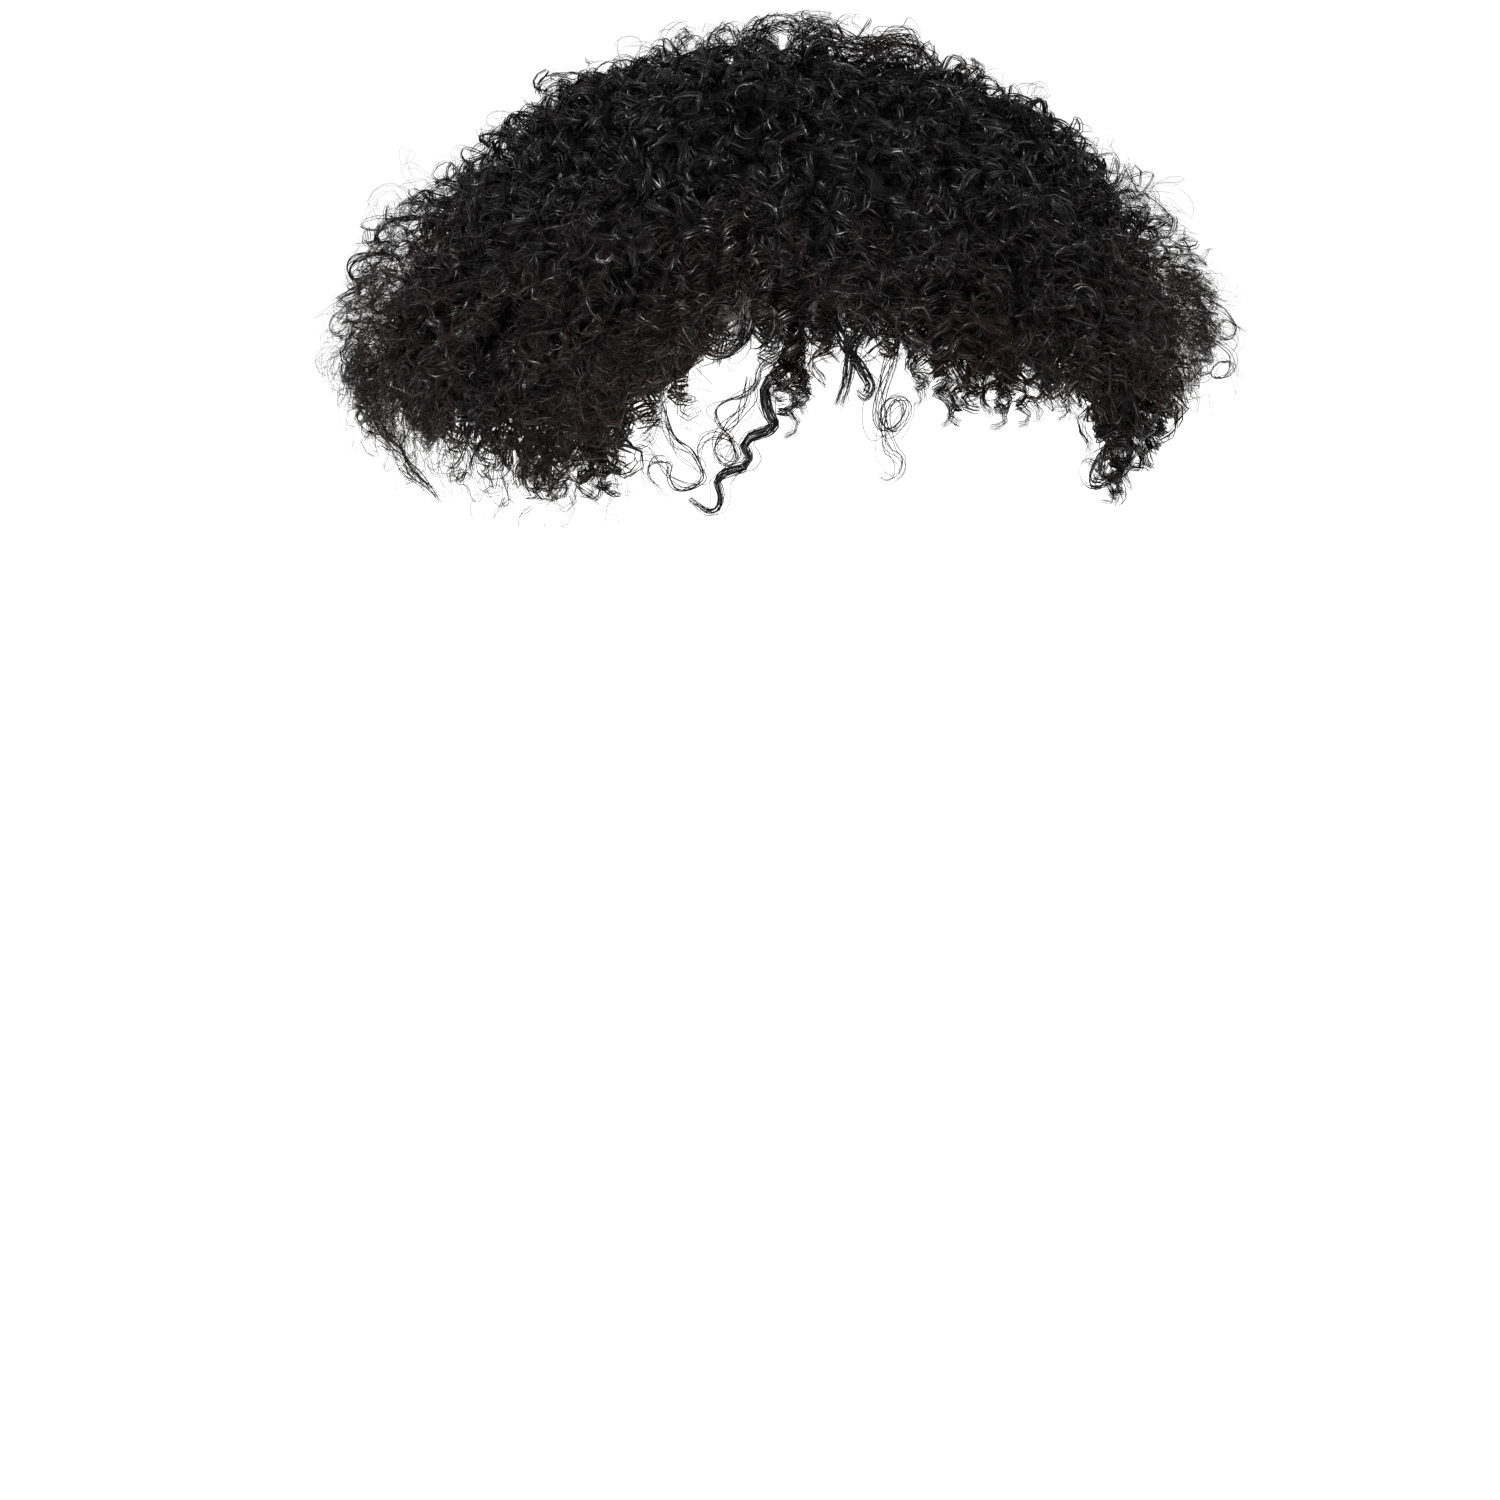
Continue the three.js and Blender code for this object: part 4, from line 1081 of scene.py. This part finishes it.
# The camera, the floor and the lights. The view's centre lies left of the origin and below it.
VIEW_AZIMUTH = math.radians(-33)
VIEW_PITCH = math.radians(9.5)
VIEW_DISTANCE = 2.0
VIEW_WIDTH = 0.5
CENTRE_LEFT = 0.011
CENTRE_BELOW = 0.212
SENSOR = 36
FLOOR_HEIGHT = -0.462
FLOOR_HALF = 40.0
FLOOR_COLOUR = 0.95, 0.95, 0.95, 1
FLOOR_ROUGHNESS = 0.9
SKY_COLOUR = 1, 1, 1, 1
SKY_STRENGTH = 1.08
LIGHTS = (
    dict(name="key", azimuth=-62, elevation=56, distance=1.4, size=0.45, power=130),
    dict(name="fill", azimuth=15, elevation=45, distance=1.6, size=0.7, power=40),
)


def view_axes(azimuth, pitch):
    """The directions to the right, up and back of a view."""
    level = math.cos(pitch)
    right = Vector((math.cos(azimuth), math.sin(azimuth), 0))
    back = Vector((math.sin(azimuth) * level, -math.cos(azimuth) * level, math.sin(pitch)))
    return right, back.cross(right), back


def make_camera():
    """The camera at the photograph's angle."""
    right, up, back = view_axes(VIEW_AZIMUTH, VIEW_PITCH)
    data = bpy.data.cameras.new("camera")
    data.sensor_width = SENSOR
    data.lens = SENSOR * VIEW_DISTANCE / VIEW_WIDTH
    camera = new_object("camera", data)
    camera.location = back * VIEW_DISTANCE - right * CENTRE_LEFT - up * CENTRE_BELOW
    camera.rotation_mode = "QUATERNION"
    camera.rotation_quaternion = (-back).to_track_quat("-Z", "Y")
    bpy.context.scene.camera = camera


def make_floor():
    """A wide pale floor."""
    mesh = bpy.data.meshes.new("floor")
    corners = [(-1, -1), (1, -1), (1, 1), (-1, 1)]
    points = [(x * FLOOR_HALF, y * FLOOR_HALF, FLOOR_HEIGHT) for x, y in corners]
    mesh.from_pydata(points, [], [(0, 1, 2, 3)])
    floor = new_object("floor", mesh)
    material, _, shader = new_material("floor")
    shader.inputs["Base Color"].default_value = FLOOR_COLOUR
    shader.inputs["Roughness"].default_value = FLOOR_ROUGHNESS
    mesh.materials.append(material)


def add_light(row):
    """A square lamp of LIGHTS, turned to the origin."""
    _, _, back = view_axes(math.radians(row["azimuth"]), math.radians(row["elevation"]))
    data = bpy.data.lights.new(row["name"], "AREA")
    data.size = row["size"]
    data.energy = row["power"]
    lamp = new_object(row["name"], data)
    lamp.location = back * row["distance"]
    lamp.rotation_mode = "QUATERNION"
    lamp.rotation_quaternion = back.to_track_quat("Z", "Y")


def make_world():
    """Even white light from all round."""
    world = bpy.data.worlds.new("studio")
    world.use_nodes = True
    background = world.node_tree.nodes["Background"]
    background.inputs["Color"].default_value = SKY_COLOUR
    background.inputs["Strength"].default_value = SKY_STRENGTH
    bpy.context.scene.world = world
    bpy.context.scene.view_settings.view_transform = "Standard"


make_camera()
make_floor()
make_world()
for row in LIGHTS:
    add_light(row)
strands = hair_material("hair_strands", HAIR_BLACK, HAIR_SHINE_THROUGH_BROWN, 0.32, 0.43, 0.25 * MM)
core = hair_material("hair_core", CORE_BLACK, CORE_BROWN, 0.7, 0.05, 0.2 * MM)
make_hair([strands, core])
make_base()
